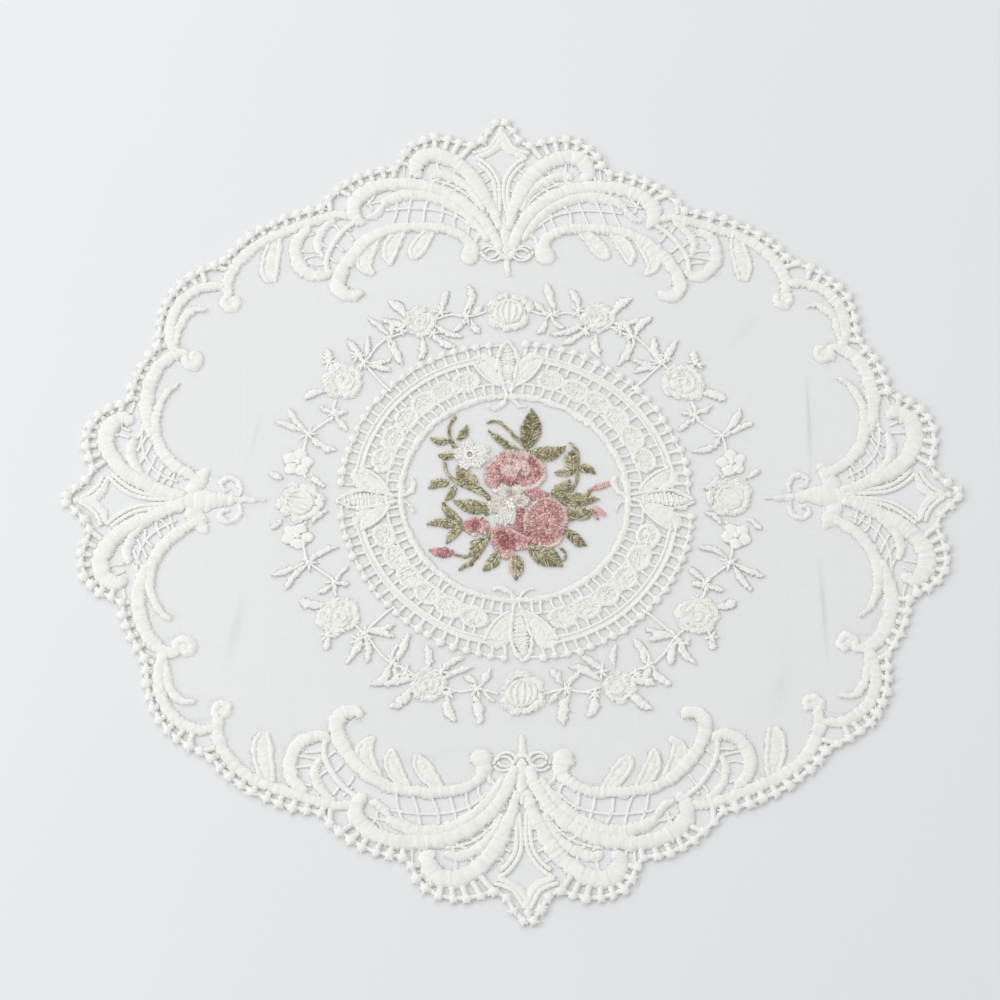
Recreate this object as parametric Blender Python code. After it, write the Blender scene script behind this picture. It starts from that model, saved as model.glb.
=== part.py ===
"""Round lace doily: a sheer woven panel inside a flat openwork lace border. Metres, +Z up.

The design has four equal quarters. Every table below gives one quarter in millimetres, from the
+Y axis round to the +X axis, and the code mirrors it in X and in Y. A row is the end of one arc:
where it ends, and how far the arc bulges to the left of its chord (0 is a straight run).
"""

import math

import bpy

MM = 0.001

BORDER_THICKNESS = 1.8 * MM
PANEL_THICKNESS = 1.0 * MM
SEAM_GAP = 0.3 * MM  # between the panel's edge and the border around it
ARC_SAG = 0.1 * MM  # how far a facet may fall inside its arc
STRAIGHT_RUN = 10.0 * MM  # longest facet on a straight stretch

OUTER_START = (0.0, 175.0)
OUTER_EDGE = (
    # lobe, end x, end y, bulge
    ("top point", 14.0, 164.5, 1.9),
    ("top fan lobe", 44.0, 151.5, 9.0),
    ("top plume", 76.0, 132.5, 4.6),
    ("corner rail", 116.0, 108.3, 5.0),
    ("upper C scroll", 141.5, 70.5, 8.6),
    ("lower C scroll", 152.5, 45.0, 2.2),
    ("side fan lobe", 166.3, 15.0, 9.0),
    ("side point", 175.0, 0.0, 1.0),
)

INNER_START = (0.0, 100.5)
INNER_EDGE = (
    # feature, end x, end y, bulge
    ("top spike", 3.0, 108.0, 0.0),
    ("top base loop", 9.0, 108.0, -0.8),
    ("top base loop", 12.0, 107.0, 0.0),
    ("scroll knob", 19.8, 111.5, -3.6),
    ("scroll knob", 16.5, 115.0, 0.0),
    ("arch", 28.5, 119.5, 1.8),
    ("first leaf", 38.5, 108.0, -0.5),
    ("first leaf", 37.5, 120.8, -2.4),
    ("arch", 42.0, 120.3, 0.0),
    ("second leaf", 48.3, 105.0, -0.5),
    ("second leaf", 49.0, 118.8, -3.2),
    ("arch", 53.0, 117.8, 0.0),
    ("curved leaf", 53.8, 101.0, 3.2),
    ("curved leaf", 59.6, 113.8, -5.0),
    ("arch", 61.2, 113.2, 0.0),
    ("hook scroll", 66.5, 98.0, 1.2),
    ("hook scroll", 61.0, 95.0, 1.0),
    ("hook scroll", 58.0, 92.3, 0.0),
    ("hook scroll", 70.0, 91.0, -3.2),
    ("hook scroll", 74.0, 99.0, -0.8),
    ("U scroll", 83.0, 98.3, -0.8),
    ("U scroll", 88.3, 108.0, -1.6),
    ("U scroll", 87.6, 118.0, -0.6),
    ("rail", 91.2, 118.0, 0.0),
    ("pendant leaf", 95.5, 97.0, -1.1),
    ("pendant leaf", 97.3, 115.8, -4.2),
    ("rail", 110.5, 99.0, 2.2),
    ("rail", 109.5, 93.0, 0.0),
    ("upper knob", 115.3, 92.2, -8.6),
    ("upper C scroll", 128.0, 89.0, 2.3),
    ("upper thorn", 120.5, 85.3, 0.3),
    ("upper thorn", 131.8, 79.5, 1.5),
    ("upper C scroll", 131.0, 69.0, 0.5),
    ("lower knob", 126.0, 68.0, 0.0),
    ("lower knob", 131.0, 60.0, -7.4),
    ("lower C scroll", 133.5, 61.0, 0.0),
    ("lower C scroll", 139.2, 50.5, 0.5),
    ("lower thorn", 138.2, 48.8, 0.0),
    ("lower thorn", 129.5, 52.3, -0.9),
    ("lower thorn", 139.8, 40.0, 1.8),
    ("lower C scroll", 125.5, 14.2, 5.4),
    ("side wing", 121.0, 13.3, 0.2),
    ("side wing", 115.0, 9.8, 0.6),
    ("side base loop", 107.5, 5.0, -4.0),
    ("side base loop", 106.5, 3.0, 0.0),
    ("side spike", 98.0, 0.0, 0.0),
)

# Windows on an axis are given by their half in the quarter, and run from axis to axis.
AXIS_WINDOWS = (
    # name, start x, start y, rows as above
    ("top_diamond", 0.0, 142.5, ((6.5, 158.5, 1.2), (0.0, 166.0, 0.0))),
    ("side_diamond", 165.0, 0.0, ((157.5, 6.0, 0.0), (147.5, 0.0, 1.0))),
)

# The other windows lie whole inside the quarter and are closed loops.
QUARTER_WINDOWS = (
    # name, rows as above; the first row's arc starts at the last row's point
    ("fan_window", ((25.0, 135.3, 1.5), (45.0, 134.7, 1.2), (50.5, 128.5, 0.6), (49.5, 125.6, 0.3),
                    (24.0, 125.6, -1.2), (15.0, 120.3, -0.8), (11.0, 121.8, 0.0))),
    ("lobe_window", ((10.5, 142.0, 1.0), (21.5, 147.0, 1.2), (23.5, 143.5, 0.0), (11.0, 131.0, -1.0),
                     (7.0, 127.0, 0.0))),
    ("side_window", ((145.5, 27.5, 0.0), (150.5, 18.0, 0.6), (149.0, 13.5, 0.0), (131.5, 7.5, -1.0),
                     (134.0, 11.5, 0.0))),
    ("fan_eye", ((26.5, 155.5, 0.8), (33.0, 151.0, 2.0), (29.5, 147.2, 1.0), (24.5, 150.5, 0.0),
                 (16.5, 153.0, 0.0))),
    ("side_eye", ((155.0, 31.0, 1.0), (158.5, 24.0, 2.2), (155.5, 17.5, 1.0))),
    ("plume_eye", ((57.0, 135.0, 0.8), (59.5, 131.5, 1.0), (54.0, 129.0, 0.8), (51.5, 133.0, 0.0))),
)

THREAD_WHITE = (0.88, 0.88, 0.86, 1.0)
SHEER_WHITE = (0.80, 0.82, 0.84, 1.0)


def clear_scene():
    for old in list(bpy.data.objects):
        bpy.data.objects.remove(old)


def arc_points(start, end, bulge):
    """Points after start, up to end, on the circle arc with this bulge to the left of its chord."""
    run = (end[0] - start[0], end[1] - start[1])
    chord = math.hypot(*run)
    left = (-run[1] / chord, run[0] / chord)
    if abs(bulge) < 1e-9:
        steps = max(1, math.ceil(chord / STRAIGHT_RUN))
        return [(start[0] + run[0] * i / steps, start[1] + run[1] * i / steps) for i in range(1, steps + 1)]
    radius = (chord * chord / 4 + bulge * bulge) / (2 * abs(bulge))
    sweep = 4 * math.atan(2 * abs(bulge) / chord)
    side = math.copysign(1, bulge)
    centre = [start[k] + run[k] / 2 + left[k] * (bulge - side * radius) for k in (0, 1)]
    first = math.atan2(start[1] - centre[1], start[0] - centre[0])
    facet = 2 * math.acos(1 - min(1.0, ARC_SAG / radius))
    steps = max(2, math.ceil(sweep / facet))
    angles = [first - side * sweep * i / steps for i in range(1, steps + 1)]
    return [(centre[0] + radius * math.cos(a), centre[1] + radius * math.sin(a)) for a in angles]


def path_of(start, rows):
    """The points of a chain of arcs, start included, from rows of end x, end y and bulge in mm."""
    points = [(start[0] * MM, start[1] * MM)]
    for x, y, bulge in rows:
        points += arc_points(points[-1], (x * MM, y * MM), bulge * MM)
    return points


def mirrored(points, flip_x, flip_y):
    """The points in another quarter, kept in their turning order."""
    moved = [(x * flip_x, y * flip_y) for x, y in points]
    return moved if flip_x * flip_y > 0 else moved[::-1]


def full_loop(quarter):
    """A closed outline from one that runs from the +Y axis to the +X axis."""
    loop = []
    for flip_x, flip_y in ((1, 1), (1, -1), (-1, -1), (-1, 1)):
        loop += mirrored(quarter, flip_x, flip_y)[:-1]
    return loop


def shrunk(loop, gap):
    """A clockwise outline moved inwards by gap, with sharp corners blunted."""
    moved = []
    for i, point in enumerate(loop):
        before, after = loop[i - 1], loop[(i + 1) % len(loop)]
        normals = []
        for a, b in ((before, point), (point, after)):
            length = math.hypot(b[0] - a[0], b[1] - a[1])
            normals.append(((b[1] - a[1]) / length, (a[0] - b[0]) / length))
        nx, ny = normals[0][0] + normals[1][0], normals[0][1] + normals[1][1]
        size = nx * nx + ny * ny
        reach = gap * min(2 / max(size, 1e-9), 2.5 / max(math.sqrt(size), 1e-9))
        moved.append((point[0] + nx * reach, point[1] + ny * reach))
    return moved


def window_loops():
    """Each window's name and closed outline, for all four quarters."""
    loops = []
    for name, x, y, rows in AXIS_WINDOWS:
        half = path_of((x, y), rows)
        on_y_axis = x == 0
        mirror = (-1, 1) if on_y_axis else (1, -1)
        whole = half + [(px * mirror[0], py * mirror[1]) for px, py in half[-2:0:-1]]
        for flip in (1, -1):
            turn = (1, flip) if on_y_axis else (flip, 1)
            loops.append((name, mirrored(whole, *turn)))
    for name, rows in QUARTER_WINDOWS:
        whole = path_of(rows[-1][:2], rows)[:-1]
        for flip_x, flip_y in ((1, 1), (1, -1), (-1, -1), (-1, 1)):
            loops.append((name, mirrored(whole, flip_x, flip_y)))
    return loops


def flat_sheet(name, loops, thickness, collection):
    """A flat sheet resting on z = 0, cut to its outlines: the first is the edge, the rest are holes."""
    curve = bpy.data.curves.new(name, "CURVE")
    curve.dimensions = "2D"
    curve.fill_mode = "BOTH"
    curve.extrude = thickness / 2
    for loop in loops:
        spline = curve.splines.new("POLY")
        spline.points.add(len(loop) - 1)
        for point, (x, y) in zip(spline.points, loop):
            point.co = (x, y, 0.0, 1.0)
        spline.use_cyclic_u = True
    sheet = bpy.data.objects.new(name, curve)
    sheet.location.z = thickness / 2
    collection.objects.link(sheet)
    return sheet


def cloth_material(name, colour, roughness, alpha):
    material = bpy.data.materials.new(name)
    material.use_nodes = True
    shader = material.node_tree.nodes["Principled BSDF"]
    shader.inputs["Base Color"].default_value = colour
    shader.inputs["Roughness"].default_value = roughness
    shader.inputs["Metallic"].default_value = 0.0
    shader.inputs["Alpha"].default_value = alpha
    return material


def lace_border(collection, inner_loop):
    outer_loop = full_loop(path_of(OUTER_START, [row[1:] for row in OUTER_EDGE]))
    holes = [loop for _, loop in window_loops()]
    border = flat_sheet("lace_border", [outer_loop, inner_loop, *holes], BORDER_THICKNESS, collection)
    border.data.materials.append(cloth_material("lace thread", THREAD_WHITE, 0.55, 1.0))


def sheer_panel(collection, inner_loop):
    edge = shrunk(inner_loop, SEAM_GAP)
    panel = flat_sheet("sheer_panel", [edge], PANEL_THICKNESS, collection)
    panel.data.materials.append(cloth_material("sheer cloth", SHEER_WHITE, 0.45, 0.35))


def main():
    clear_scene()
    doily = bpy.data.collections.new("lace_doily")
    bpy.context.scene.collection.children.link(doily)
    inner_loop = full_loop(path_of(INNER_START, [row[1:] for row in INNER_EDGE]))
    lace_border(doily, inner_loop)
    sheer_panel(doily, inner_loop)


main()
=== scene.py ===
import math

import bmesh
import bpy
import numpy as np
from mathutils import Matrix, Vector


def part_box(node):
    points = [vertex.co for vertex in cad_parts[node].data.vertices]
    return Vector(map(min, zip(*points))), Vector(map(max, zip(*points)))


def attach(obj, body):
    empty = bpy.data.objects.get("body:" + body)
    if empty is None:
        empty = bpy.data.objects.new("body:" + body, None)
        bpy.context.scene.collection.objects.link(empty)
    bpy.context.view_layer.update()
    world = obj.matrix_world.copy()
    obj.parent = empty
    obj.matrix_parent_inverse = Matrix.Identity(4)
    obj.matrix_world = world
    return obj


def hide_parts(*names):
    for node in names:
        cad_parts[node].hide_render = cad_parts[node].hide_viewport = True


# A machine lace doily: a sheer ground, a border of padded satin scrolls with lattice and picots,
# a lace ring, a wreath of white roses and a small rose bouquet in the middle.
# Tables are in millimetres from the middle of the doily, +Y away from the viewer.

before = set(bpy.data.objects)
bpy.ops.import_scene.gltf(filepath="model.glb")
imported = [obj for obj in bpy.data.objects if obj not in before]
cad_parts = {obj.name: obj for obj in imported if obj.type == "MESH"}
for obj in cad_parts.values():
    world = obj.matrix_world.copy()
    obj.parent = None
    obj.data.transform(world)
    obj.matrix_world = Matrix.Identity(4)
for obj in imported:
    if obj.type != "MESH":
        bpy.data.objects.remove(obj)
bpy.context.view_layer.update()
mm = 0.001
dice = np.random.default_rng(11)

quarters = ((1, 1), (-1, 1), (1, -1), (-1, -1))


# How the cloth has settled: how far it lies from its true pattern, x and y, at evenly spaced angles
# from +Y towards +X, for rings of these radii.
settling = {
    "angles": 16,
    "middle": (0.1, -0.3),
    "rings": {
        28: (
            (-0.4, -0.1), (-0.5, -0.1), (-0.2, -0.2), (0.0, -0.5), (0.2, -0.6), (0.4, -0.5), (0.3, -0.7),
            (0.0, -0.8), (-0.2, -0.6), (0.0, -0.4), (0.3, -0.3), (0.4, -0.2), (0.3, -0.2), (0.2, -0.1),
            (0.1, 0.0), (-0.1, 0.0),
        ),
        48: (
            (-0.6, -0.9), (-0.8, -0.7), (0.0, -0.7), (0.4, -1.4), (0.3, -1.3), (0.7, -0.7), (0.9, -0.9),
            (0.8, -0.7), (0.4, -0.3), (0.5, -0.3), (0.8, -0.2), (1.2, -0.1), (1.1, -0.9), (0.7, -1.0),
            (0.3, -0.7), (-0.3, -0.9),
        ),
        68: (
            (-0.4, -1.5), (-0.6, -1.1), (0.3, -1.3), (0.7, -2.8), (0.3, -3.1), (0.9, -1.6), (0.5, -1.9),
            (1.9, -0.8), (2.3, -0.1), (2.0, -0.5), (1.5, 0.5), (1.9, 0.5), (2.0, -1.5), (1.5, -1.2),
            (0.9, -1.1), (-0.4, -1.9),
        ),
        88: (
            (0.6, -1.2), (1.0, -1.1), (1.3, -1.9), (1.6, -3.4), (0.5, -2.7), (1.6, -1.4), (1.3, -1.1),
            (1.1, -0.8), (1.1, -0.1), (1.0, 0.3), (1.4, 2.0), (2.3, 0.6), (0.9, -1.2), (2.3, -0.9),
            (2.0, -0.3), (0.8, -1.8),
        ),
        118: (
            (-0.8, -1.9), (0.5, -1.5), (0.5, -1.7), (0.9, -2.4), (0.4, -1.2), (0.8, -0.9), (0.5, -1.4),
            (0.7, -1.5), (-0.7, -0.1), (-0.4, -0.1), (-0.9, 0.6), (0.2, 0.9), (-0.2, -0.8), (0.7, -1.5),
            (-0.1, -0.2), (0.9, -0.7),
        ),
        140: (
            (-1.9, -2.6), (-1.3, -2.0), (-0.1, -1.5), (-0.5, -1.3), (0.0, -1.5), (-0.2, -0.5),
            (0.1, -0.6), (-0.9, -1.4), (-0.6, 0.0), (-0.7, 0.0), (-2.1, -0.5), (-1.5, 0.9), (-0.8, -1.4),
            (-0.6, -2.0), (-0.9, -1.1), (-0.5, 0.3),
        ),
        158: (
            (-1.6, -2.1), (-1.9, -2.4), (0.3, -1.8), (-0.3, -1.0), (-0.4, -2.4), (0.3, -0.6), (1.2, -0.1),
            (-1.2, -1.1), (0.0, 0.2), (-0.5, 0.7), (-2.8, -0.3), (-1.6, 1.3), (0.0, -0.7), (-0.3, -1.5),
            (-1.2, -1.5), (-1.0, 0.7),
        ),
        176: (
            (-1.2, -1.8), (-1.4, -2.8), (0.1, -2.1), (-0.4, -0.2), (-0.6, -1.1), (0.6, -0.8), (1.9, 0.5),
            (0.4, -0.8), (0.3, -0.2), (-1.7, 0.9), (-2.3, 0.1), (-0.9, 0.9), (0.3, -0.1), (-0.1, -1.0),
            (-1.4, -1.3), (-2.3, 1.2),
        ),
    },
}


def settled(points, look):
    # points in millimetres, moved to where they really lie
    angles = look["angles"]
    radii = np.array([0] + list(look["rings"]), float)
    shifts = np.array([[look["middle"]] * angles] + list(look["rings"].values()))
    reach = np.clip(np.hypot(points[:, 0], points[:, 1]), 0, radii[-1] - 0.01)
    row = np.searchsorted(radii, reach, side="right") - 1
    outward = ((reach - radii[row]) / (radii[row + 1] - radii[row]))[:, None]
    turn = np.arctan2(points[:, 0], points[:, 1]) / (2 * np.pi) * angles % angles
    column = np.floor(turn).astype(int) % angles
    around = (turn - np.floor(turn))[:, None]
    around = around**2 * (3 - 2 * around)
    after = (column + 1) % angles
    inner, outer = (shifts[r, column] * (1 - around) + shifts[r, after] * around for r in (row, row + 1))
    moved = np.array(points, float)
    moved[:, :2] += inner * (1 - outward) + outer * outward
    return moved


# Thread kit: every stitched part below is made with these few functions.

def newStock(trace=False):
    # what one piece gathers before it becomes a mesh
    return {"points": [], "faces": [], "stitch": [], "tone": [], "count": 0,
            "flip": (1, 1), "shift": (0.0, 0.0, 0.0), "turn": 0.0, "trace": [] if trace else None}


def steer(stocks, **state):
    # how the next stitches are drawn: flip, turn or shift
    for stock in stocks:
        stock.update(state)


def mirrored(stock):
    return stock["flip"][0] * stock["flip"][1] < 0


def placed(stock, points):
    # points turned, mirrored and moved to where the stock is drawing now
    cosine, sine = math.cos(stock["turn"]), math.sin(stock["turn"])
    moved = np.array(points, float)
    x, y = moved[:, 0] * stock["flip"][0], moved[:, 1] * stock["flip"][1]
    moved[:, 0] = cosine * x - sine * y + stock["shift"][0]
    moved[:, 1] = sine * x + cosine * y + stock["shift"][1]
    return moved


# how far the grain moves on from one band, or one short stitch, to the next
grainStep = {"band": 0.37, "stitch": 3.1}


def addSkin(stock, rings, across, along, tone):
    # each ring runs from left, over the top, to the right; both ends are closed
    rows, sides = rings.shape[:2]
    points = placed(stock, rings.reshape(-1, 3))
    index = np.arange(rows * sides).reshape(rows, sides) + stock["count"]
    after = np.roll(index, -1, axis=1)
    quads = np.stack([index[:-1], after[:-1], after[1:], index[1:]], axis=-1).reshape(-1, 4)
    faces = quads.tolist() + [index[0][::-1].tolist(), index[-1].tolist()]
    if mirrored(stock):
        faces = [face[::-1] for face in faces]
    stock["points"].append(points)
    stock["faces"] += faces
    stock["stitch"].append(np.stack([
        np.broadcast_to(across, (rows, sides)).ravel(),
        np.broadcast_to(along, (rows, sides)).ravel() + stock["count"] * grainStep["band"],
        np.zeros(rows * sides)], axis=1))
    stock["tone"].append(np.broadcast_to(tone, (rows, sides)).ravel())
    stock["count"] += rows * sides


def smoothPath(knots, step):
    # evenly spaced points on a smooth curve through the knots; other columns are carried along
    knots = np.array(knots, float)
    hops = np.hypot(*np.diff(knots[:, :2], axis=0).T)
    at = np.concatenate([[0], np.cumsum(hops)])
    slopes = np.gradient(knots, at, axis=0)
    fine = np.linspace(0, at[-1], max(8, int(at[-1] * 4)))
    leg = np.clip(np.searchsorted(at, fine, side="right") - 1, 0, len(hops) - 1)
    span = hops[leg][:, None]
    u = (fine - at[leg])[:, None] / span
    curve = ((2 * u**3 - 3 * u**2 + 1) * knots[leg] + (u**3 - 2 * u**2 + u) * span * slopes[leg]
             + (3 * u**2 - 2 * u**3) * knots[leg + 1] + (u**3 - u**2) * span * slopes[leg + 1])
    length = np.concatenate([[0], np.cumsum(np.hypot(*np.diff(curve[:, :2], axis=0).T))])
    along = np.linspace(0, length[-1], max(2, round(length[-1] / step)) + 1)
    return np.stack([np.interp(along, length, column) for column in curve.T], axis=1), along


def directions(angles):
    return np.stack([np.cos(angles), np.sin(angles)], axis=1)


def leftOf(path):
    heading = np.gradient(path[:, :2], axis=0)
    heading /= np.maximum(np.linalg.norm(heading, axis=1), 1e-9)[:, None]
    return np.stack([-heading[:, 1], heading[:, 0]], axis=1)


# the lowest that any thread goes, just clear of what the doily lies on
lowest = 0.03

# half of a band's section: share of the half width, share of the height
sectionHalves = {
    "pad": ((1, 0), (0.92, 0.26), (0.7, 0.66), (0.36, 0.93), (0, 1)),
    "rim": ((1, 0), (0.93, 0.34), (0.76, 0.78), (0.45, 0.93), (0, 1)),
    "leaf": ((1, 0), (0.84, 0.5), (0.5, 0.86), (0.15, 0.9), (0, 0.7)),
    "bed": ((1, 0), (0.66, 0.72), (0, 1)),
}


def lumps(along, size):
    # a smooth random swing about zero, changing every few stitches
    places = np.arange(0, along[-1] + 2 * size, size)
    return np.interp(along, places, np.clip(dice.normal(0, 1, len(places)), -1.8, 1.8))


# how uneven satin stitches are: at a band's edge, in a stitch's depth and in its tone
satinUnevenness = {
    "edgeCrest": 0.7, "edgeStitch": 0.5, "edgeSwing": 0.6, "swingLength": 1.7,
    "depthStitch": 0.35, "depthLump": 0.8, "depthLumpLength": 0.9,
    "toneStitch": 0.4, "toneSwing": 0.3,
}


def satinBand(stock, knots, shape, height, base=lowest, pitch=0.8, slant=0.0, relief=0.13, fray=0.5,
              ends=("round", "round"), tone=0.5, spread=0.35, look=satinUnevenness):
    # a band of satin stitches; knots are x, y, width
    half = sectionHalves[shape]
    section = np.array(half + tuple((-t, lift) for t, lift in half[-2::-1]), float)
    path, along = smoothPath(knots, pitch / 2)
    halfWidth = np.maximum(path[:, 2], 0.1) / 2
    swell = np.ones(len(along))
    for kind, gap in zip(ends, (along, along[-1] - along)):
        if kind == "round":
            share = np.clip(gap / np.maximum(halfWidth, 0.3), 0.03, 1)
            swell = swell * np.sqrt(1 - (1 - share) ** 2)
    halfWidth = halfWidth * swell
    crest = np.arange(len(along)) % 2
    stitchNumber = np.arange(len(along)) // 2
    wobble = np.clip(dice.normal(0, 1, (stitchNumber[-1] + 1, 4)), -2, 2)[stitchNumber]
    swing = np.stack([lumps(along, look["swingLength"]) for _ in range(3)], axis=1)
    left = leftOf(path)
    rings = np.zeros((len(along), len(section), 3))
    for column, (t, lift) in enumerate(section):
        at = along + slant * abs(t) * halfWidth
        at = np.maximum.accumulate(np.minimum(at, along[-1] + 0.02 * (along - along[-1])))
        hand = 0 if t > 0 else 1
        unevenEdge = ((crest - 0.5) * look["edgeCrest"] + wobble[:, hand] * look["edgeStitch"]
                      + swing[:, hand] * look["edgeSwing"])
        edge = halfWidth + fray * swell * unevenEdge
        for axis in (0, 1):
            centre = np.interp(at, along, path[:, axis])
            normal = np.interp(at, along, left[:, axis])
            rings[:, column, axis] = centre + normal * t * (halfWidth + (edge - halfWidth) * t * t)
        unevenDepth = ((1 - crest) - look["depthStitch"] * wobble[:, 2]
                       - look["depthLump"] * lumps(along, look["depthLumpLength"]))
        sunk = relief * unevenDepth * min(1, lift * 1.5)
        rings[:, column, 2] = base + height * swell**0.7 * lift - sunk * swell
    rings[:, :, 2] = np.maximum(rings[:, :, 2], base)
    unevenTone = wobble[:, 3] * look["toneStitch"] + swing[:, 2] * look["toneSwing"]
    tones = np.clip(tone + spread * unevenTone, 0, 1)[:, None]
    addSkin(stock, rings, section[None, :, 0] * halfWidth[:, None], along[:, None], tones)
    if stock["trace"] is not None:
        stock["trace"].append(placed(stock, np.column_stack([path[::4, :2], halfWidth[::4]])))


# loose fibres along a band: spacing, height, longest, thickness, how far they rise in the middle
fibres = {"gap": 1.5, "level": 0.4, "length": 2.1, "thick": 0.42, "arch": 0.15, "tone": 0.9,
          "lean": 0.8, "levelSpread": 0.12, "reach": (0.75, 1.12)}


def fuzz(stock, knots, look):
    # fibres that lean out over both edges of a band
    path = smoothPath(knots, look["gap"])[0]
    count = len(path)
    left = leftOf(path)
    hand = dice.choice((-1, 1), count)
    reach = path[:, 2] / 2 * dice.uniform(*look["reach"], count) * hand
    middle = path[:, :2] + left * reach[:, None]
    heading = np.arctan2(left[:, 1], left[:, 0]) + dice.normal(0, look["lean"], count)
    length = look["length"] * dice.uniform(0.5, 1, (count, 1))
    lift = look["level"] + dice.normal(0, look["levelSpread"], (count, 1))
    crossStitches(stock, middle, heading, length / 2, lift, look["thick"], look["arch"],
                  np.full(count, look["tone"]))


# lay: length of one twist; ply: how deep the groove between two plies is
twist = {"lay": 2.1, "ply": 0.2, "flat": 0.5, "spread": 0.15}


def cord(stock, knots, thick, level=0.36, sides=6, step=0.6, tone=0.55, look=twist):
    # a twisted thread; knots are x, y and, where it isn't level, z
    knots = [(k[0], k[1], k[2] if len(k) > 2 else level) for k in knots]
    path, along = smoothPath(knots, step)
    left = leftOf(path)
    turn = np.pi - 2 * np.pi * np.arange(sides) / sides
    wound = along[:, None] * 2 * np.pi / look["lay"]
    radius = thick / 2 * (1 + look["ply"] * np.cos(2 * (turn[None, :] - wound / 2)))
    rings = np.zeros((len(along), sides, 3))
    rings[:, :, :2] = path[:, None, :2] - left[:, None, :] * (radius * np.cos(turn))[:, :, None]
    rings[:, :, 2] = np.maximum(path[:, None, 2] + look["flat"] * radius * np.sin(turn), lowest)
    tones = np.clip(tone + look["spread"] * dice.normal(0, 1, (len(along), 1)), 0, 1)
    addSkin(stock, rings, (turn * thick / 2)[None, :], along[:, None], tones)


def leafKnots(root, tip, width, bend, count, least):
    # knots of x, y, width along the midrib of a pointed leaf
    root, tip = np.array(root, float), np.array(tip, float)
    run = tip - root
    part = np.linspace(0, 1, count)[:, None]
    spine = root + run * part + np.array((-run[1], run[0])) * bend * np.sin(np.pi * part)
    return np.hstack([spine, width * np.sin(np.pi * part**0.9) ** 0.8 + least])


def leaf(stock, root, tip, width, bend, **finish):
    # a pointed leaf as one band
    satinBand(stock, leafKnots(root, tip, width, bend, 7, 0.3), ends=("flat", "flat"), **finish)


def disc(stock, x, y, radius, turn=0.0, **finish):
    # a round padded spot
    dx, dy = radius * math.cos(turn), radius * math.sin(turn)
    satinBand(stock, [(x - dx, y - dy, 2 * radius), (x + dx, y + dy, 2 * radius)], shape="pad", **finish)


def starKnot(stock, x, y, size, level, points=5, tone=0.5, spikes=0.16):
    # a small knot of thread with short points round it
    sides = 2 * points
    turn = 2 * np.pi * np.arange(sides) / sides + dice.uniform(0, 1)
    star = 1 + spikes * np.cos(points * (turn - turn[0])) + dice.normal(0, 0.08, sides)
    climb = np.radians((-50, -12, 20, 46, 72))[:, None]
    radius = size / 2 * np.cos(climb) * (1 + (star[None, :] - 1) * np.cos(climb) ** 2)
    rings = np.zeros((len(climb), sides, 3))
    rings[:, :, 0] = x + radius * np.cos(turn)
    rings[:, :, 1] = y + radius * np.sin(turn)
    rings[:, :, 2] = np.maximum(level + size * 0.27 * np.sin(climb), lowest)
    addSkin(stock, rings, turn[None, :] * size / 2, climb * size / 2, tone)


def addStitches(stock, starts, ends, thick, arch, tones):
    # many short straight stitches at once, each a small spindle of 3 rings of 4 points that rises
    # in its middle
    starts, ends = np.array(starts, float), np.array(ends, float)
    count = len(starts)
    thick = np.broadcast_to(thick, count)[:, None, None]
    run = ends - starts
    length = np.maximum(np.hypot(run[:, 0], run[:, 1]), 1e-6)
    side = np.stack([-run[:, 1] / length, run[:, 0] / length, np.zeros(count)], axis=1)[:, None, :]
    upright = np.array((0.0, 0.0, 1.0))
    turn = np.pi * (1 - np.arange(4) / 2)
    rings = []
    for part, swell, rise in ((0.0, 0.35, 0.0), (0.5, 1.0, 1.0), (1.0, 0.35, 0.0)):
        centre = (starts + run * part)[:, None, :] + upright * rise * arch
        offset = -side * np.cos(turn)[None, :, None] + upright * np.sin(turn)[None, :, None] * 0.8
        rings.append(centre + offset * thick / 2 * swell)
    points = placed(stock, np.stack(rings, axis=1).reshape(-1, 3))
    points[:, 2] = np.maximum(points[:, 2], lowest)
    ring = np.arange(4)
    after = (ring + 1) % 4
    body = np.concatenate([np.stack([ring, after, after + 4, ring + 4], axis=1),
                           np.stack([ring + 4, after + 4, after + 8, ring + 8], axis=1),
                           [[3, 2, 1, 0], [8, 9, 10, 11]]])
    if mirrored(stock):
        body = body[:, ::-1]
    each = 3 * len(ring)
    first = stock["count"] + each * np.arange(count)[:, None, None]
    stock["points"].append(points)
    stock["faces"] += (body[None] + first).reshape(-1, 4).tolist()
    along = np.array((0.0, 0.5, 1.0))[None, :, None] * length[:, None, None]
    stitch = np.zeros((count, 3, 4, 3))
    stitch[..., 0] = along + np.arange(count)[:, None, None] * grainStep["stitch"]
    stitch[..., 1] = turn * 0.15
    stock["stitch"].append(stitch.reshape(-1, 3))
    stock["tone"].append(np.repeat(np.clip(tones, 0, 1), each))
    stock["count"] += each * count


def crossStitches(stock, middles, heading, reach, lift, thick, arch, tones):
    # level stitches through these middles, each as long as its reach to both sides
    step = directions(heading) * reach
    addStitches(stock, np.hstack([middles - step, lift]), np.hstack([middles + step, lift]), thick, arch,
                tones)


def spray(stock, x, y, count, jitter, reach, inner, outer, thick, size=1):
    # stitches from one place out to all sides, from the inner level to the outer; reach is in sizes
    turns = dice.uniform(0, 2 * np.pi) + np.arange(count) * 2 * np.pi / count
    turns = turns + dice.normal(0, jitter, count)
    ends = directions(turns) * (size * dice.uniform(*reach, (count, 1))) + (x, y)
    starts = np.hstack([np.tile((x, y), (count, 1)), np.full((count, 1), inner)])
    addStitches(stock, starts, np.hstack([ends, np.full((count, 1), outer)]), thick, 0.25,
                np.full(count, 0.9))


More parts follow.
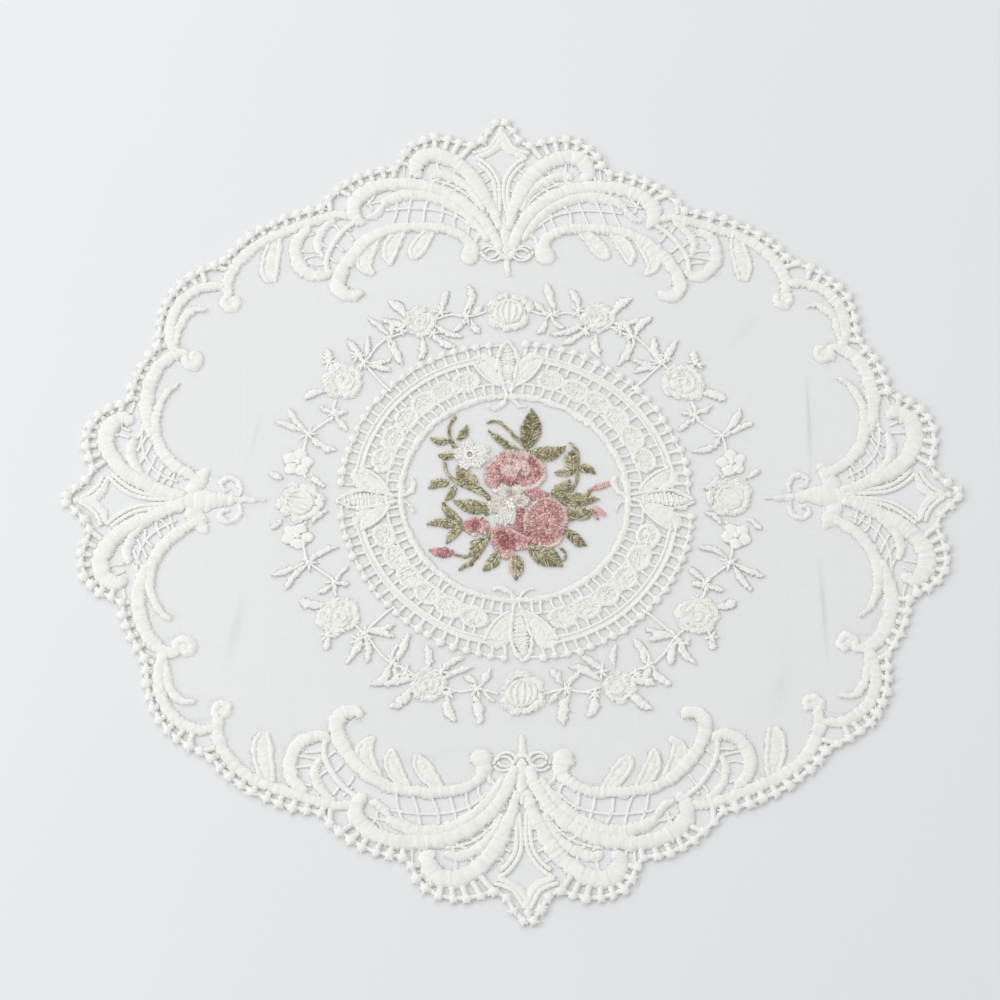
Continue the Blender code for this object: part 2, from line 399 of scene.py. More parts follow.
# how uneven laid stitches are: in thickness, in how many lie side by side, in where each one ends,
# in its place along a band, and in a leaf's edge
laidUnevenness = {
    "thick": (0.8, 1.15),
    "fillCuts": 0.25, "fillEnds": 0.12, "fillPlace": 0.06,
    "leafCuts": 0.2, "leafEnds": 0.1, "leafEdge": 0.1,
}


def layStitches(stock, rows, thick, arch):
    # each row is a start, an end and a tone
    starts, ends, tones = zip(*rows)
    thickness = thick * dice.uniform(*laidUnevenness["thick"], len(rows))
    addStitches(stock, starts, ends, thickness, arch, np.array(tones))


def stitchFill(stock, knots, height, base, tone, thick, pitch=0.42, reach=1.5, spread=0.26, slant=0.0,
               look=laidUnevenness):
    # rows of long and short stitches across a padded band; tone is for its left and right edge
    path, along = smoothPath(knots, pitch)
    left = leftOf(path)
    rows = []
    for i in range(len(path)):
        half = path[i, 2] / 2
        cuts = max(1, round(2 * half / reach + dice.normal(0, look["fillCuts"])))
        edges = np.linspace(-1, 1, cuts + 1) + dice.normal(0, look["fillEnds"], cuts + 1)
        for t0, t1 in zip(edges[:-1], edges[1:]):
            pair = []
            for t in (t0, t1):
                t = np.clip(t, -1.08, 1.08)
                at = along[i] + slant * t * half + dice.normal(0, look["fillPlace"])
                centre = [np.interp(at, along, path[:, axis]) for axis in (0, 1)]
                lift = base + height * max(0.0, 1 - abs(t) ** 2.4) ** 0.6
                pair.append((centre[0] + left[i, 0] * t * half, centre[1] + left[i, 1] * t * half, lift))
            share = np.clip((1 - (t0 + t1) / 2) / 2, 0, 1)
            rows.append((*pair, tone[0] + (tone[1] - tone[0]) * share + dice.normal(0, spread)))
    layStitches(stock, rows, thick, 0.18)


def leafStitches(stock, root, tip, width, bend, tone, height=0.8, base=0.5, pitch=0.46, thick=0.55,
                 spread=0.3, reach=1.35, look=laidUnevenness):
    # slanting stitches from a leaf's midrib to its edges; tone is for its left and right half
    path = smoothPath(leafKnots(root, tip, width, bend, 9, 0.2), pitch)[0]
    left = leftOf(path)
    rows = []
    for i in range(len(path)):
        for hand, shade in ((1, tone[0]), (-1, tone[1])):
            half = path[i, 2] / 2 + dice.normal(0, look["leafEdge"])
            outer = path[i, :2] + left[i] * hand * half
            back = min(i, int(half * 0.9 / pitch))
            inner = path[i - back, :2] + left[i - back] * hand * 0.12
            cuts = np.linalg.norm(outer - inner) / reach + dice.normal(0, look["leafCuts"])
            cuts = max(1, round(cuts))
            marks = np.linspace(0, 1, cuts + 1)
            marks[1:-1] += dice.normal(0, look["leafEnds"], cuts - 1)
            for a, b in zip(marks[:-1], marks[1:]):
                rise = [base + height * (0.55 + 0.45 * math.sin(math.pi * min(1, m + 0.25))) * (1 - m**3)
                        for m in (a, b)]
                rows.append(((*(inner + (outer - inner) * a), rise[0]),
                             (*(inner + (outer - inner) * b), rise[1]), shade + dice.normal(0, spread)))
    layStitches(stock, rows, thick, 0.15)


def bar(stock, start, end, thick, level=0.34, bow=0.12):
    # one thread tied between two bands, a little out of line
    start, end = np.array(start[:2], float), np.array(end[:2], float)
    run = end - start
    middle = (start + end) / 2 + np.array((-run[1], run[0])) * dice.normal(0, bow / 2)
    lift = level + dice.normal(0, 0.06)
    cord(stock, [(*start, lift), (*middle, lift - 0.06), (*end, lift)], thick=thick, sides=5, step=0.75)


def sampled(knots, parts):
    # points at these shares of a path's length
    path, along = smoothPath(knots, 0.4)
    return np.stack([np.interp(np.array(parts) * along[-1], along, column) for column in path.T], axis=1)


def ladder(stock, firstLine, secondLine, parts, thick):
    # bars between two lines at these shares of their lengths
    for a, b in zip(sampled(firstLine, parts), sampled(secondLine, parts)):
        bar(stock, a, b, thick)


def crossKnots(stock, firstLine, secondLine, parts, lines, size=1.7):
    # a small knot wherever the bars of a ladder cross the lines
    for a, b in zip(sampled(firstLine, parts), sampled(secondLine, parts)):
        between = a[:2] + (b - a)[:2] * np.linspace(0.1, 0.9, 30)[:, None]
        for line in lines:
            way = smoothPath(line, 0.4)[0][:, :2]
            gaps = np.linalg.norm(between[:, None] - way[None], axis=2)
            i, j = np.unravel_index(np.argmin(gaps), gaps.shape)
            if gaps[i, j] < 0.8:
                starKnot(stock, *way[j], size=size * dice.uniform(0.8, 1.2), level=0.4, points=4)


def arcPoint(radius, degrees):
    # a point on a circle, with the angle from +Y towards +X
    turn = math.radians(degrees)
    return radius * math.sin(turn), radius * math.cos(turn)


def arcKnots(radius, first, last, *more):
    count = max(3, int(abs(last - first) / 12) + 2)
    return [(*arcPoint(radius, degrees), *more) for degrees in np.linspace(first, last, count)]


def offAxis(degrees):
    # how far an angle is from the nearest of the four axes
    return abs((degrees + 45) % 90 - 45)


def makePiece(name, stock, material, slotName, *nodes):
    mesh = bpy.data.meshes.new(name)
    points = settled(np.concatenate(stock["points"]), settling)
    mesh.from_pydata((points * mm).tolist(), [], stock["faces"])
    mesh.shade_smooth()
    stitch = mesh.attributes.new("stitch", "FLOAT_VECTOR", "POINT")
    stitch.data.foreach_set("vector", np.concatenate(stock["stitch"]).astype(np.float32).ravel())
    tone = mesh.attributes.new("tone", "FLOAT", "POINT")
    tone.data.foreach_set("value", np.concatenate(stock["tone"]).astype(np.float32))
    mesh.materials.append(material)
    piece = bpy.data.objects.new(name, mesh)
    bpy.context.scene.collection.objects.link(piece)
    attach(piece, "root")
    if nodes:
        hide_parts(*nodes)
    triangles = sum(len(face) - 2 for face in stock["faces"])
    print(f"{name}: {triangles} triangles")
    return piece


# Shader groups

def newGroup(name, inputs, outputs):
    tree = bpy.data.node_groups.new(name, "ShaderNodeTree")
    for socketName, kind, value in inputs:
        socket = tree.interface.new_socket(socketName, in_out="INPUT", socket_type=kind)
        if value is not None:
            socket.default_value = value
    for socketName, kind in outputs:
        tree.interface.new_socket(socketName, in_out="OUTPUT", socket_type=kind)
    return tree, tree.nodes.new("NodeGroupInput"), tree.nodes.new("NodeGroupOutput")


def setUp(node, **settings):
    # settings that name a socket set its value, the others are the node's own
    for key, value in settings.items():
        if hasattr(node, key):
            setattr(node, key, value)
        else:
            node.inputs[key.replace("_", " ")].default_value = value
    return node


def addNode(tree, kind, **settings):
    return setUp(tree.nodes.new(kind), **settings)


def addTint(tree, first, second):
    # mixes two colours: its share is input 0 and its result is output 2
    mix = addNode(tree, "ShaderNodeMix", data_type="RGBA")
    mix.inputs[6].default_value = first
    mix.inputs[7].default_value = second
    return mix


def addSum(tree):
    return addNode(tree, "ShaderNodeMath", operation="ADD")


def join(tree, *links):
    # each link is a node, its output, another node, its input
    for giver, output, taker, entry in links:
        tree.links.new(giver.outputs[output], taker.inputs[entry])


def buildStrandGrain():
    # fine filaments along each stitch: a height for the bump and a shade for the colour
    tree, entry, out = newGroup(
        "strandGrain",
        (("Stitch", "NodeSocketVector", None), ("Fineness", "NodeSocketFloat", 1.0)),
        (("Height", "NodeSocketFloat"), ("Shade", "NodeSocketFloat")))
    stretch = addNode(tree, "ShaderNodeVectorMath", operation="MULTIPLY")
    stretch.inputs[1].default_value = (0.55, 5.2, 1.0)
    scale = addNode(tree, "ShaderNodeVectorMath", operation="SCALE")
    strands = addNode(tree, "ShaderNodeTexNoise", Scale=1.0, Detail=3.0, Roughness=0.6)
    slubs = addNode(tree, "ShaderNodeTexNoise", Scale=0.45, Detail=2.0, Roughness=0.5)
    shade = addNode(tree, "ShaderNodeMath", operation="MULTIPLY")
    join(tree,
         (entry, "Stitch", stretch, 0), (stretch, 0, scale, 0), (entry, "Fineness", scale, "Scale"),
         (scale, 0, strands, "Vector"), (entry, "Stitch", slubs, "Vector"), (strands, 0, shade, 0),
         (slubs, 0, shade, 1), (strands, 0, out, "Height"), (shade, 0, out, "Shade"))
    return tree


def buildSoftPatches():
    # broad, faint differences of tone over a surface
    tree, entry, out = newGroup(
        "softPatches",
        (("Place", "NodeSocketVector", None), ("Size", "NodeSocketFloat", 30.0),
         ("Low", "NodeSocketFloat", 0.0), ("High", "NodeSocketFloat", 1.0)),
        (("Value", "NodeSocketFloat"),))
    clouds = addNode(tree, "ShaderNodeTexNoise", Detail=3.0, Roughness=0.55)
    limits = addNode(tree, "ShaderNodeMapRange", From_Min=0.3, From_Max=0.7)
    join(tree,
         (entry, "Place", clouds, "Vector"), (entry, "Size", clouds, "Scale"),
         (clouds, 0, limits, "Value"), (entry, "Low", limits, "To Min"),
         (entry, "High", limits, "To Max"), (limits, "Result", out, "Value"))
    return tree


strandGrain = buildStrandGrain()
softPatches = buildSoftPatches()


def newMaterial(name):
    material = bpy.data.materials.new(name)
    material.use_nodes = True
    return material, material.node_tree, material.node_tree.nodes["Principled BSDF"]


def linear(red, green, blue):
    # a screen colour, 0 to 255, as the shader's own
    parts = [value / 255 for value in (red, green, blue)]
    return tuple(c / 12.92 if c <= 0.04045 else ((c + 0.055) / 1.055) ** 2.4 for c in parts) + (1.0,)


def threadMaterial(name, look):
    # colour runs over the ramp by each stitch's tone, grain and broad patches
    material, tree, shader = newMaterial(name)
    stitch = addNode(tree, "ShaderNodeAttribute", attribute_name="stitch")
    tone = addNode(tree, "ShaderNodeAttribute", attribute_name="tone")
    place = addNode(tree, "ShaderNodeTexCoord")
    grain = addNode(tree, "ShaderNodeGroup", node_tree=strandGrain, Fineness=look["fineness"])
    patches = addNode(tree, "ShaderNodeGroup", node_tree=softPatches, Size=look["patchSize"],
                      Low=-look["patches"], High=look["patches"])
    grainTone = addNode(tree, "ShaderNodeMapRange", From_Min=0.12, From_Max=0.42,
                        To_Min=-look["streaks"], To_Max=look["streaks"])
    addGrain, addPatches = addSum(tree), addSum(tree)
    ramp = addNode(tree, "ShaderNodeValToRGB")
    for spot, _ in look["ramp"][1:-1]:
        ramp.color_ramp.elements.new(spot)
    for element, (spot, colour) in zip(ramp.color_ramp.elements, look["ramp"]):
        element.position = spot
        element.color = linear(*colour)
    gloss = addNode(tree, "ShaderNodeMapRange", From_Min=0.3, From_Max=0.7,
                    To_Min=look["roughness"] - 0.08, To_Max=look["roughness"] + 0.1)
    bump = addNode(tree, "ShaderNodeBump", Strength=look["bump"], Distance=0.00025)
    join(tree,
         (stitch, "Vector", grain, "Stitch"), (place, "Object", patches, "Place"),
         (grain, "Shade", grainTone, "Value"), (tone, "Fac", addGrain, 0),
         (grainTone, "Result", addGrain, 1), (addGrain, 0, addPatches, 0),
         (patches, "Value", addPatches, 1), (addPatches, 0, ramp, "Fac"),
         (ramp, "Color", shader, "Base Color"), (grain, "Height", gloss, "Value"),
         (gloss, "Result", shader, "Roughness"), (grain, "Height", bump, "Height"),
         (bump, "Normal", shader, "Normal"))
    setUp(shader, Specular_IOR_Level=look["shine"], Sheen_Weight=look["sheen"], Sheen_Roughness=0.45)
    return material


laceLook = {
    "fineness": 1.0,
    "patchSize": 30.0,
    "patches": 0.1,
    "streaks": 0.3,
    "bump": 0.4,
    "roughness": 0.6,
    "shine": 0.15,
    "sheen": 0.1,
    "ramp": ((0.0, (241, 241, 236)), (0.5, (249, 249, 244)), (1.0, (253, 253, 249))),
}
whiteLook = {
    **laceLook,
    "ramp": (
        (0.0, (200, 180, 170)), (0.35, (241, 230, 222)), (0.65, (252, 248, 241)), (1.0, (254, 253, 249)),
    ),
}
roseLook = {
    "fineness": 1.1,
    "patchSize": 60.0,
    "patches": 0.05,
    "streaks": 0.2,
    "bump": 0.4,
    "roughness": 0.55,
    "shine": 0.2,
    "sheen": 0.15,
    "ramp": (
        (0.0, (172, 110, 112)), (0.3, (213, 158, 157)), (0.55, (235, 192, 188)), (0.8, (250, 226, 220)),
        (1.0, (253, 246, 241)),
    ),
}
leafLook = {
    **roseLook,
    "roughness": 0.52,
    "shine": 0.22,
    "sheen": 0.12,
    "ramp": (
        (0.0, (116, 108, 78)), (0.35, (178, 170, 136)), (0.65, (213, 206, 175)), (1.0, (243, 239, 217)),
    ),
}

laceThread = threadMaterial("laceThread", laceLook)
whiteThread = threadMaterial("whiteThread", whiteLook)
roseThread = threadMaterial("roseThread", roseLook)
leafThread = threadMaterial("leafThread", leafLook)


# Sheer ground

groundLook = {
    "level": 0.5,        # height of the cloth over the surface it lies on
    "thick": 0.12,
    "cell": 3.0,         # spacing of the folds' grid
    "tuckUnder": 0.9,    # how far its edge runs in under the satin
    "opacity": 0.15,     # of one face of the cloth
    "patchSize": 14.0, "patches": 0.008,
    "yarnFine": 1400.0, "yarnCoarse": 14.0, "yarns": 0.006,
    "roughness": 0.6, "shine": 0.2,
    # the second colour is painted shade, laid along the shaded, steep side of each crease
    "colour": (254, 254, 251), "creaseShadeColour": (226, 226, 224),
    "foldOpacity": 0.09,    # what a fold adds
    # soft creases: from x, y to x, y, half width on their steep side, height
    "creases": ((116.8, 54.0, 115.5, 12.0, 1.0, 0.8), (115.8, -28.0, 116.8, -70.0, 1.2, 0.6),
                (99.0, -70.0, 92.0, -92.0, 4.0, 0.25), (-100.8, 38.5, -105.6, 17.5, 0.7, 0.4),
                (-20.0, -104.0, -60.0, -112.0, 2.4, 0.3), (100.0, 84.0, 86.0, 70.0, 2.6, 0.25),
                (-108.0, -42.0, -112.0, -70.0, 2.4, 0.3)),
    "fineStrips": ((98.0, 121.0), (-114.0, -98.0)),    # where the grid is closer for the creases
    "fineCell": 0.8,
}


def sheerMaterial(look):
    material, tree, shader = newMaterial("sheerCloth")
    place = addNode(tree, "ShaderNodeTexCoord")
    # the tone attribute carries the fold mask: extra opacity and painted crease shade
    foldAndShade = addNode(tree, "ShaderNodeAttribute", attribute_name="tone")
    patches = addNode(tree, "ShaderNodeGroup", node_tree=softPatches, Size=look["patchSize"],
                      Low=-look["patches"], High=look["patches"])
    fine, coarse = look["yarnFine"], look["yarnCoarse"]
    addWarp, addWeft, addFold, addPatches = (addSum(tree) for _ in range(4))
    for scale, layer in (((fine, coarse, 1.0), addWarp), ((coarse, fine, 1.0), addWeft)):
        stretch = addNode(tree, "ShaderNodeVectorMath", operation="MULTIPLY")
        stretch.inputs[1].default_value = scale
        yarns = addNode(tree, "ShaderNodeTexNoise", Scale=1.0, Detail=2.0)
        faint = addNode(tree, "ShaderNodeMapRange", From_Min=0.3, From_Max=0.7,
                        To_Min=-look["yarns"], To_Max=look["yarns"])
        join(tree,
             (place, "Object", stretch, 0), (stretch, 0, yarns, "Vector"), (yarns, 0, faint, "Value"),
             (faint, "Result", layer, 0))
    addWarp.inputs[1].default_value = look["opacity"]
    join(tree, (addWarp, 0, addWeft, 1))
    foldShare = addNode(tree, "ShaderNodeMath", operation="MULTIPLY")
    foldShare.inputs[1].default_value = look["foldOpacity"]
    join(tree,
         (foldAndShade, "Fac", foldShare, 0), (foldShare, 0, addFold, 0), (addWeft, 0, addFold, 1),
         (place, "Object", patches, "Place"), (patches, "Value", addPatches, 0),
         (addFold, 0, addPatches, 1), (addPatches, 0, shader, "Alpha"))
    bump = addNode(tree, "ShaderNodeBump", Strength=0.2, Distance=0.0002)
    join(tree, (addWeft, 0, bump, "Height"), (bump, "Normal", shader, "Normal"))
    # painted shade: the fold mask mixes the cloth colour towards a darker grey on the shaded side of each
    # crease
    tint = addTint(tree, linear(*look["colour"]), linear(*look["creaseShadeColour"]))
    join(tree, (foldAndShade, "Fac", tint, 0), (tint, 2, shader, "Base Color"))
    setUp(shader, Roughness=look["roughness"], Specular_IOR_Level=look["shine"])
    return material


def creaseLiftAndShade(points, creases):
    # how far each point is lifted, and how much fold it gets, which adds opacity and painted shade: full on
    # the steep side of a sharp crease, the side turned from the key light
    lift = np.zeros(len(points))
    foldAndShade = np.zeros(len(points))
    for x0, y0, x1, y1, width, height in creases:
        start, run = np.array((x0, y0)), np.array((x1 - x0, y1 - y0))
        part = ((points - start) @ run) / (run @ run)
        near = start + np.clip(part, 0, 1)[:, None] * run
        gap = np.linalg.norm(points - near, axis=1)
        off = points - start
        steep = run[0] * off[:, 1] - run[1] * off[:, 0] > 0
        ridge = np.exp(-(gap / np.where(steep, width, width * 3)) ** 2)
        fade = np.clip(1.25 - abs(np.clip(part, 0, 1) - 0.5) * 2.2, 0, 1)
        lift += height * ridge * fade
        # painted shade: this mask lies only on the steep, shaded side of each crease, where the cloth
        # colour is darkened
        foldAndShade += np.where(steep, 2.3 * gap / width * ridge, 0) * fade * min(1, height / 0.7)
    return lift, np.clip(foldAndShade, 0, 1)


def makeGround(look):
    # the panel's own outline, cut into small cells, tucked under the border and given its creases, with
    # painted shade on their shaded side
    mesh = bmesh.new()
    mesh.from_mesh(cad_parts["sheer_panel"].data)
    bmesh.ops.remove_doubles(mesh, verts=mesh.verts[:], dist=1e-6)
    mesh.normal_update()
    outward = {}
    for vert in mesh.verts:
        sideways = [face.normal for face in vert.link_faces if abs(face.normal.z) < 0.5]
        if sideways:
            outward[vert] = sum(sideways, Vector((0, 0, 0))).normalized()
    for vert, push in outward.items():
        vert.co += push * look["tuckUnder"] * mm
    low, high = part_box("sheer_panel")
    bottom = [face for face in mesh.faces if face.normal.z > -0.5]
    bmesh.ops.delete(mesh, geom=bottom, context="FACES_ONLY")
    bmesh.ops.dissolve_faces(mesh, faces=mesh.faces[:])
    for axis in (0, 1):
        reach = max(abs(low[axis]), abs(high[axis])) + look["tuckUnder"] * mm
        cuts = list(np.arange(-reach, reach, look["cell"] * mm)[1:])
        if axis == 0:
            for first, last in look["fineStrips"]:
                cuts += list(np.arange(first, last, look["fineCell"]) * mm)
        for cut in cuts:
            spot = Vector((0, 0, 0))
            spot[axis] = cut
            normal = Vector((0, 0, 0))
            normal[axis] = 1
            bmesh.ops.bisect_plane(mesh, geom=mesh.verts[:] + mesh.edges[:] + mesh.faces[:],
                                   dist=1e-7, plane_co=spot, plane_no=normal)
    for face in mesh.faces:
        if face.normal.z < 0:
            face.normal_flip()
    points = np.array([vert.co[:2] for vert in mesh.verts]) / mm
    lift, foldAndShade = creaseLiftAndShade(points, look["creases"])
    swell = 0.12 * (np.sin(points[:, 0] * 0.05 + 1) + np.sin(points[:, 1] * 0.06))
    for vert, (x, y), height in zip(mesh.verts, settled(points, settling), look["level"] + swell + lift):
        vert.co = (x * mm, y * mm, height * mm)
    data = bpy.data.meshes.new("sheer_ground")
    mesh.to_mesh(data)
    mesh.free()
    # the tone attribute holds the fold mask: extra opacity and painted shade along the creases
    tone = data.attributes.new("tone", "FLOAT", "POINT")
    tone.data.foreach_set("value", foldAndShade.astype(np.float32))
    data.shade_smooth()
    data.materials.append(sheerMaterial(look))
    ground = bpy.data.objects.new("sheer_ground", data)
    bpy.context.scene.collection.objects.link(ground)
    body = ground.modifiers.new("body", "SOLIDIFY")
    body.thickness = look["thick"] * mm
    body.offset = 0
    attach(ground, "root")
    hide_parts("sheer_panel")
    print(f"sheer_ground: {len(data.polygons)} cells")
    return ground


ground = makeGround(groundLook)


# Border: fans at the back and front

fanParts = {
    # shape, height, knots of x, y, width
    "bands": (
        ("rim", 1.9, ((1.8, 123, 3.6), (3.8, 131.5, 5.0), (6.6, 138.2, 6.2), (10.4, 145.6, 6.8),
            (15, 151.6, 7.0), (20.6, 156, 7.2), (26.4, 158, 7.6), (31.8, 157.2, 7.8), (35.2, 153.4, 7.6),
            (35.6, 149.6, 6.2), (33.2, 147, 4.2))),
        ("pad", 1.5, ((7.6, 132.2, 2.4), (10.9, 139.2, 3.6), (15, 144.2, 4.4), (20.4, 147.8, 4.9),
            (25.6, 149.0, 4.6), (29.6, 147.6, 3.0))),
        ("rim", 1.9, ((2.4, 113, 4.4), (4.8, 120.3, 5.2), (8.9, 128.1, 5.6), (14.6, 134.4, 5.9),
            (21, 139.1, 6.1), (28.4, 142.1, 6.2), (36.6, 143.4, 6.2), (45.4, 143.2, 6.4),
            (52.8, 141.2, 6.8), (58.6, 137.6, 7.2), (61.8, 132, 6.8), (61, 126.6, 5.6),
            (58, 123.6, 4.0))),
        ("pad", 1.6, ((6.8, 117.6, 2.8), (10.8, 124.2, 4.2), (16.4, 130.6, 5.0), (22.8, 135.4, 5.4),
            (30.4, 138.3, 5.6), (39.6, 138.4, 5.6), (46.4, 136.0, 5.0), (50.6, 133.0, 3.6))),
        ("pad", 1.4, ((49.4, 134, 2.2), (51, 130.8, 3.4), (53.6, 128, 3.4), (57.2, 126.6, 2.2))),
        ("rim", 1.8, ((17.4, 106.6, 7.4), (15.4, 110.4, 8.4), (14.6, 114.6, 6.2), (16.4, 118.4, 4.8),
            (20.4, 121.2, 4.6), (26, 123, 4.8), (33, 123.4, 4.8), (41, 122.8, 4.9), (49, 121, 5),
            (56, 117.4, 5.2), (61.6, 112, 5.5), (65.9, 105.8, 5.8), (68.6, 99.8, 6), (69, 94.8, 6.4),
            (66.2, 91.4, 6), (62.4, 91.2, 4.8), (59.8, 93.2, 3))),
        ("pad", 1.2, ((12.6, 115.4, 1.8), (12.0, 118.6, 2.2), (9.6, 120.6, 2.4), (6.4, 119.2, 2.2))),
        ("paddle", 0.66, ((30.6, 122, 3.4), (33.6, 118.6, 5.4), (36.6, 114.2, 6.6), (38.6, 110.6, 5),
            (39.2, 108, 1.2))),
        ("paddle", 0.66, ((43, 121.6, 3.4), (46, 117.4, 5.6), (48.2, 113, 6.4), (49, 109.4, 5),
            (48.6, 105.4, 1.2))),
        ("paddle", 0.66, ((53, 119, 3.6), (56.4, 114, 6), (58.6, 109, 6.8), (58.4, 104.6, 5.2),
            (55, 101, 1.2))),
    ),
    "latticeSides": (
        # first line, second line, shares of their lengths
        (((14.4, 128), (21, 133.4), (30, 136.2), (45, 136)), ((16, 118.8), (22, 123.6), (32, 125.4),
            (48, 123.4)), (0.0, 0.19, 0.38, 0.58, 0.79, 0.97)),
        (((5.6, 129), (8.8, 136.4), (13.4, 142.2), (20, 145.8), (27.4, 147)), ((8.2, 128), (13.4, 134.8),
            (19.6, 140), (27, 143.6), (32.4, 144.4)), (0.06, 0.24, 0.42, 0.6, 0.78, 0.94)),
    ),
    "latticeLines": (
        ((12.5, 123.4), (19, 128.8), (28, 131.6), (39, 131.8), (49, 130.4)),
        ((6.8, 128.6), (11, 136.2), (16.4, 141.6), (24, 145), (29.6, 145.8)),
    ),
    "bars": (
        ((19, 154), (20, 148.6)), ((26.6, 156), (25.8, 149.6)), ((38, 150), (39.6, 144.4)),
        ((40.8, 157), (41, 144.6)), ((34.5, 146), (34.8, 143)), ((52.2, 139), (55.4, 133.8)),
        ((56.2, 136.6), (54, 130.6)), ((50, 134.6), (57, 133)), ((2.4, 138.4), (4.6, 138)),
        ((3, 143), (6.4, 141.6)), ((4.8, 147.6), (8, 145.6)), ((7.4, 151.8), (10.6, 149.6)),
    ),
    # thin cords beside the open diamond
    "cords": (
        ((1.4, 132), (0.8, 141), (1.4, 147), (3.8, 152), (7.4, 155.9), (10.6, 158)),
        ((2.8, 132), (2.5, 141), (3.3, 146.8), (5.7, 151.2), (9.4, 155)),
        ((10.6, 158), (7, 159.5), (3.6, 161.7), (1.3, 164.8), (0, 168)),
        ((11.8, 159.8), (8, 161), (4.8, 162.8), (2.6, 166.4), (0.8, 169.6)),
    ),
    "diamondLinks": (
        ((7.2, 159.2), (8.2, 161)), ((4.2, 161.2), (5.4, 163)), ((1.9, 164.4), (3.4, 165.8)),
    ),
    "loop": (6.6, 111.6, 3.5),
    "tipBand": (
        (10.6, 157.4, 1.4), (7, 158.9, 2.4), (3.8, 161.0, 3.2), (1.5, 163.8, 3.8), (0.4, 167, 4.0),
        (0.2, 170, 3.0), (0, 173.4, 2.4),
    ),
}

# on the fan's own axis, drawn once
fanMiddle = {
    "column": ((0, 129, 2.4), (0, 125, 3.8), (0, 119.6, 4.6), (0, 114, 5.2), (0, 110, 4.2)),
    "spike": ((0, 110.5, 3.4), (0, 106.4, 3.0), (-0.2, 103.2, 3.0), (-0.4, 100.2, 2.4)),
    "yoke": ((-3.4, 112.4, 2.0), (-1.6, 110, 2.4), (0, 109.2, 2.4), (1.6, 110, 2.4), (3.4, 112.4, 2.0)),
}


# flattened: how much of a band's drawn height is left once the lace is pressed
bandLook = {
    "flattened": 0.76,
    "paddleSlant": 0.5, "paddleRelief": 0.16, "paddleTone": 0.6,
    "rimHeight": 0.88, "rimWidth": 2.3, "rimInset": 0.7, "rimFray": 0.5,
}


def paddleLeaf(stock, knots, height, look):
    # a flat leaf of slanting satin with a raised edge
    satinBand(stock, knots, shape="bed", height=height, slant=look["paddleSlant"],
              relief=look["paddleRelief"], tone=look["paddleTone"])
    path = smoothPath(knots, 1.2)[0]
    left = leftOf(path)
    for hand in (1, -1):
        rim = path[:, :2] + left * (hand * np.maximum(path[:, 2:3] / 2 - look["rimInset"], 0.05))
        satinBand(stock, np.column_stack([rim, np.full(len(rim), look["rimWidth"])]), shape="bed",
                  height=look["rimHeight"], fray=look["rimFray"])


def drawBands(stock, bands):
    for shape, height, knots in bands:
        if shape == "paddle":
            paddleLeaf(stock, knots, height, bandLook)
        else:
            satinBand(stock, knots, shape=shape, height=height * bandLook["flattened"])
            fuzz(stock, knots, fibres)


latticeLook = {
    # how thick each kind of thread is
    "ladder": 1.35, "line": 1.2, "bar": 1.25, "cornerBar": 1.3, "diamondCord": 1.9, "diamondLink": 1.0,
    "loop": 1.35, "cornerCord": 2.2,
    "tipHeight": 0.85,
    # two rounds of the small loop: how they lean and how high they lie
    "loopRounds": ((0.35, 0.48), (-0.5, 0.78)),
}


def drawLattice(bars, parts, look=latticeLook):
    # the threads between the bands, and the open diamond with its thick end
    for first, second, shares in parts["latticeSides"]:
        ladder(bars, first, second, shares, look["ladder"])
        crossKnots(bars, first, second, shares, parts["latticeLines"])
    for line in parts["latticeLines"]:
        cord(bars, line, thick=look["line"])
    for start, end in parts["bars"]:
        bar(bars, start, end, thick=look["bar"])
    for line in parts["cords"]:
        cord(bars, line, thick=look["diamondCord"], level=0.4, sides=8)
    for start, end in parts["diamondLinks"]:
        bar(bars, start, end, thick=look["diamondLink"])
    satinBand(bars, parts["tipBand"], shape="pad", height=look["tipHeight"])


def drawFanHalf(stock, bars, parts, look=latticeLook):
    drawBands(stock, parts["bands"])
    x, y, radius = parts["loop"]
    for lean, level in look["loopRounds"]:
        loop = [(x + radius * (math.cos(a) + lean * 0.4), y + radius * (math.sin(a) * 0.8 + lean * 0.5))
                for a in np.linspace(0.4, 6.4, 9)]
        cord(bars, loop, thick=look["loop"], level=level)
    drawLattice(bars, parts)


def drawFanMiddle(stock, parts):
    satinBand(stock, parts["column"], shape="pad", height=1.2)
    satinBand(stock, parts["spike"], shape="pad", height=0.9)
    satinBand(stock, parts["yoke"], shape="pad", height=0.7, base=0.7)


# Border: fans at the sides

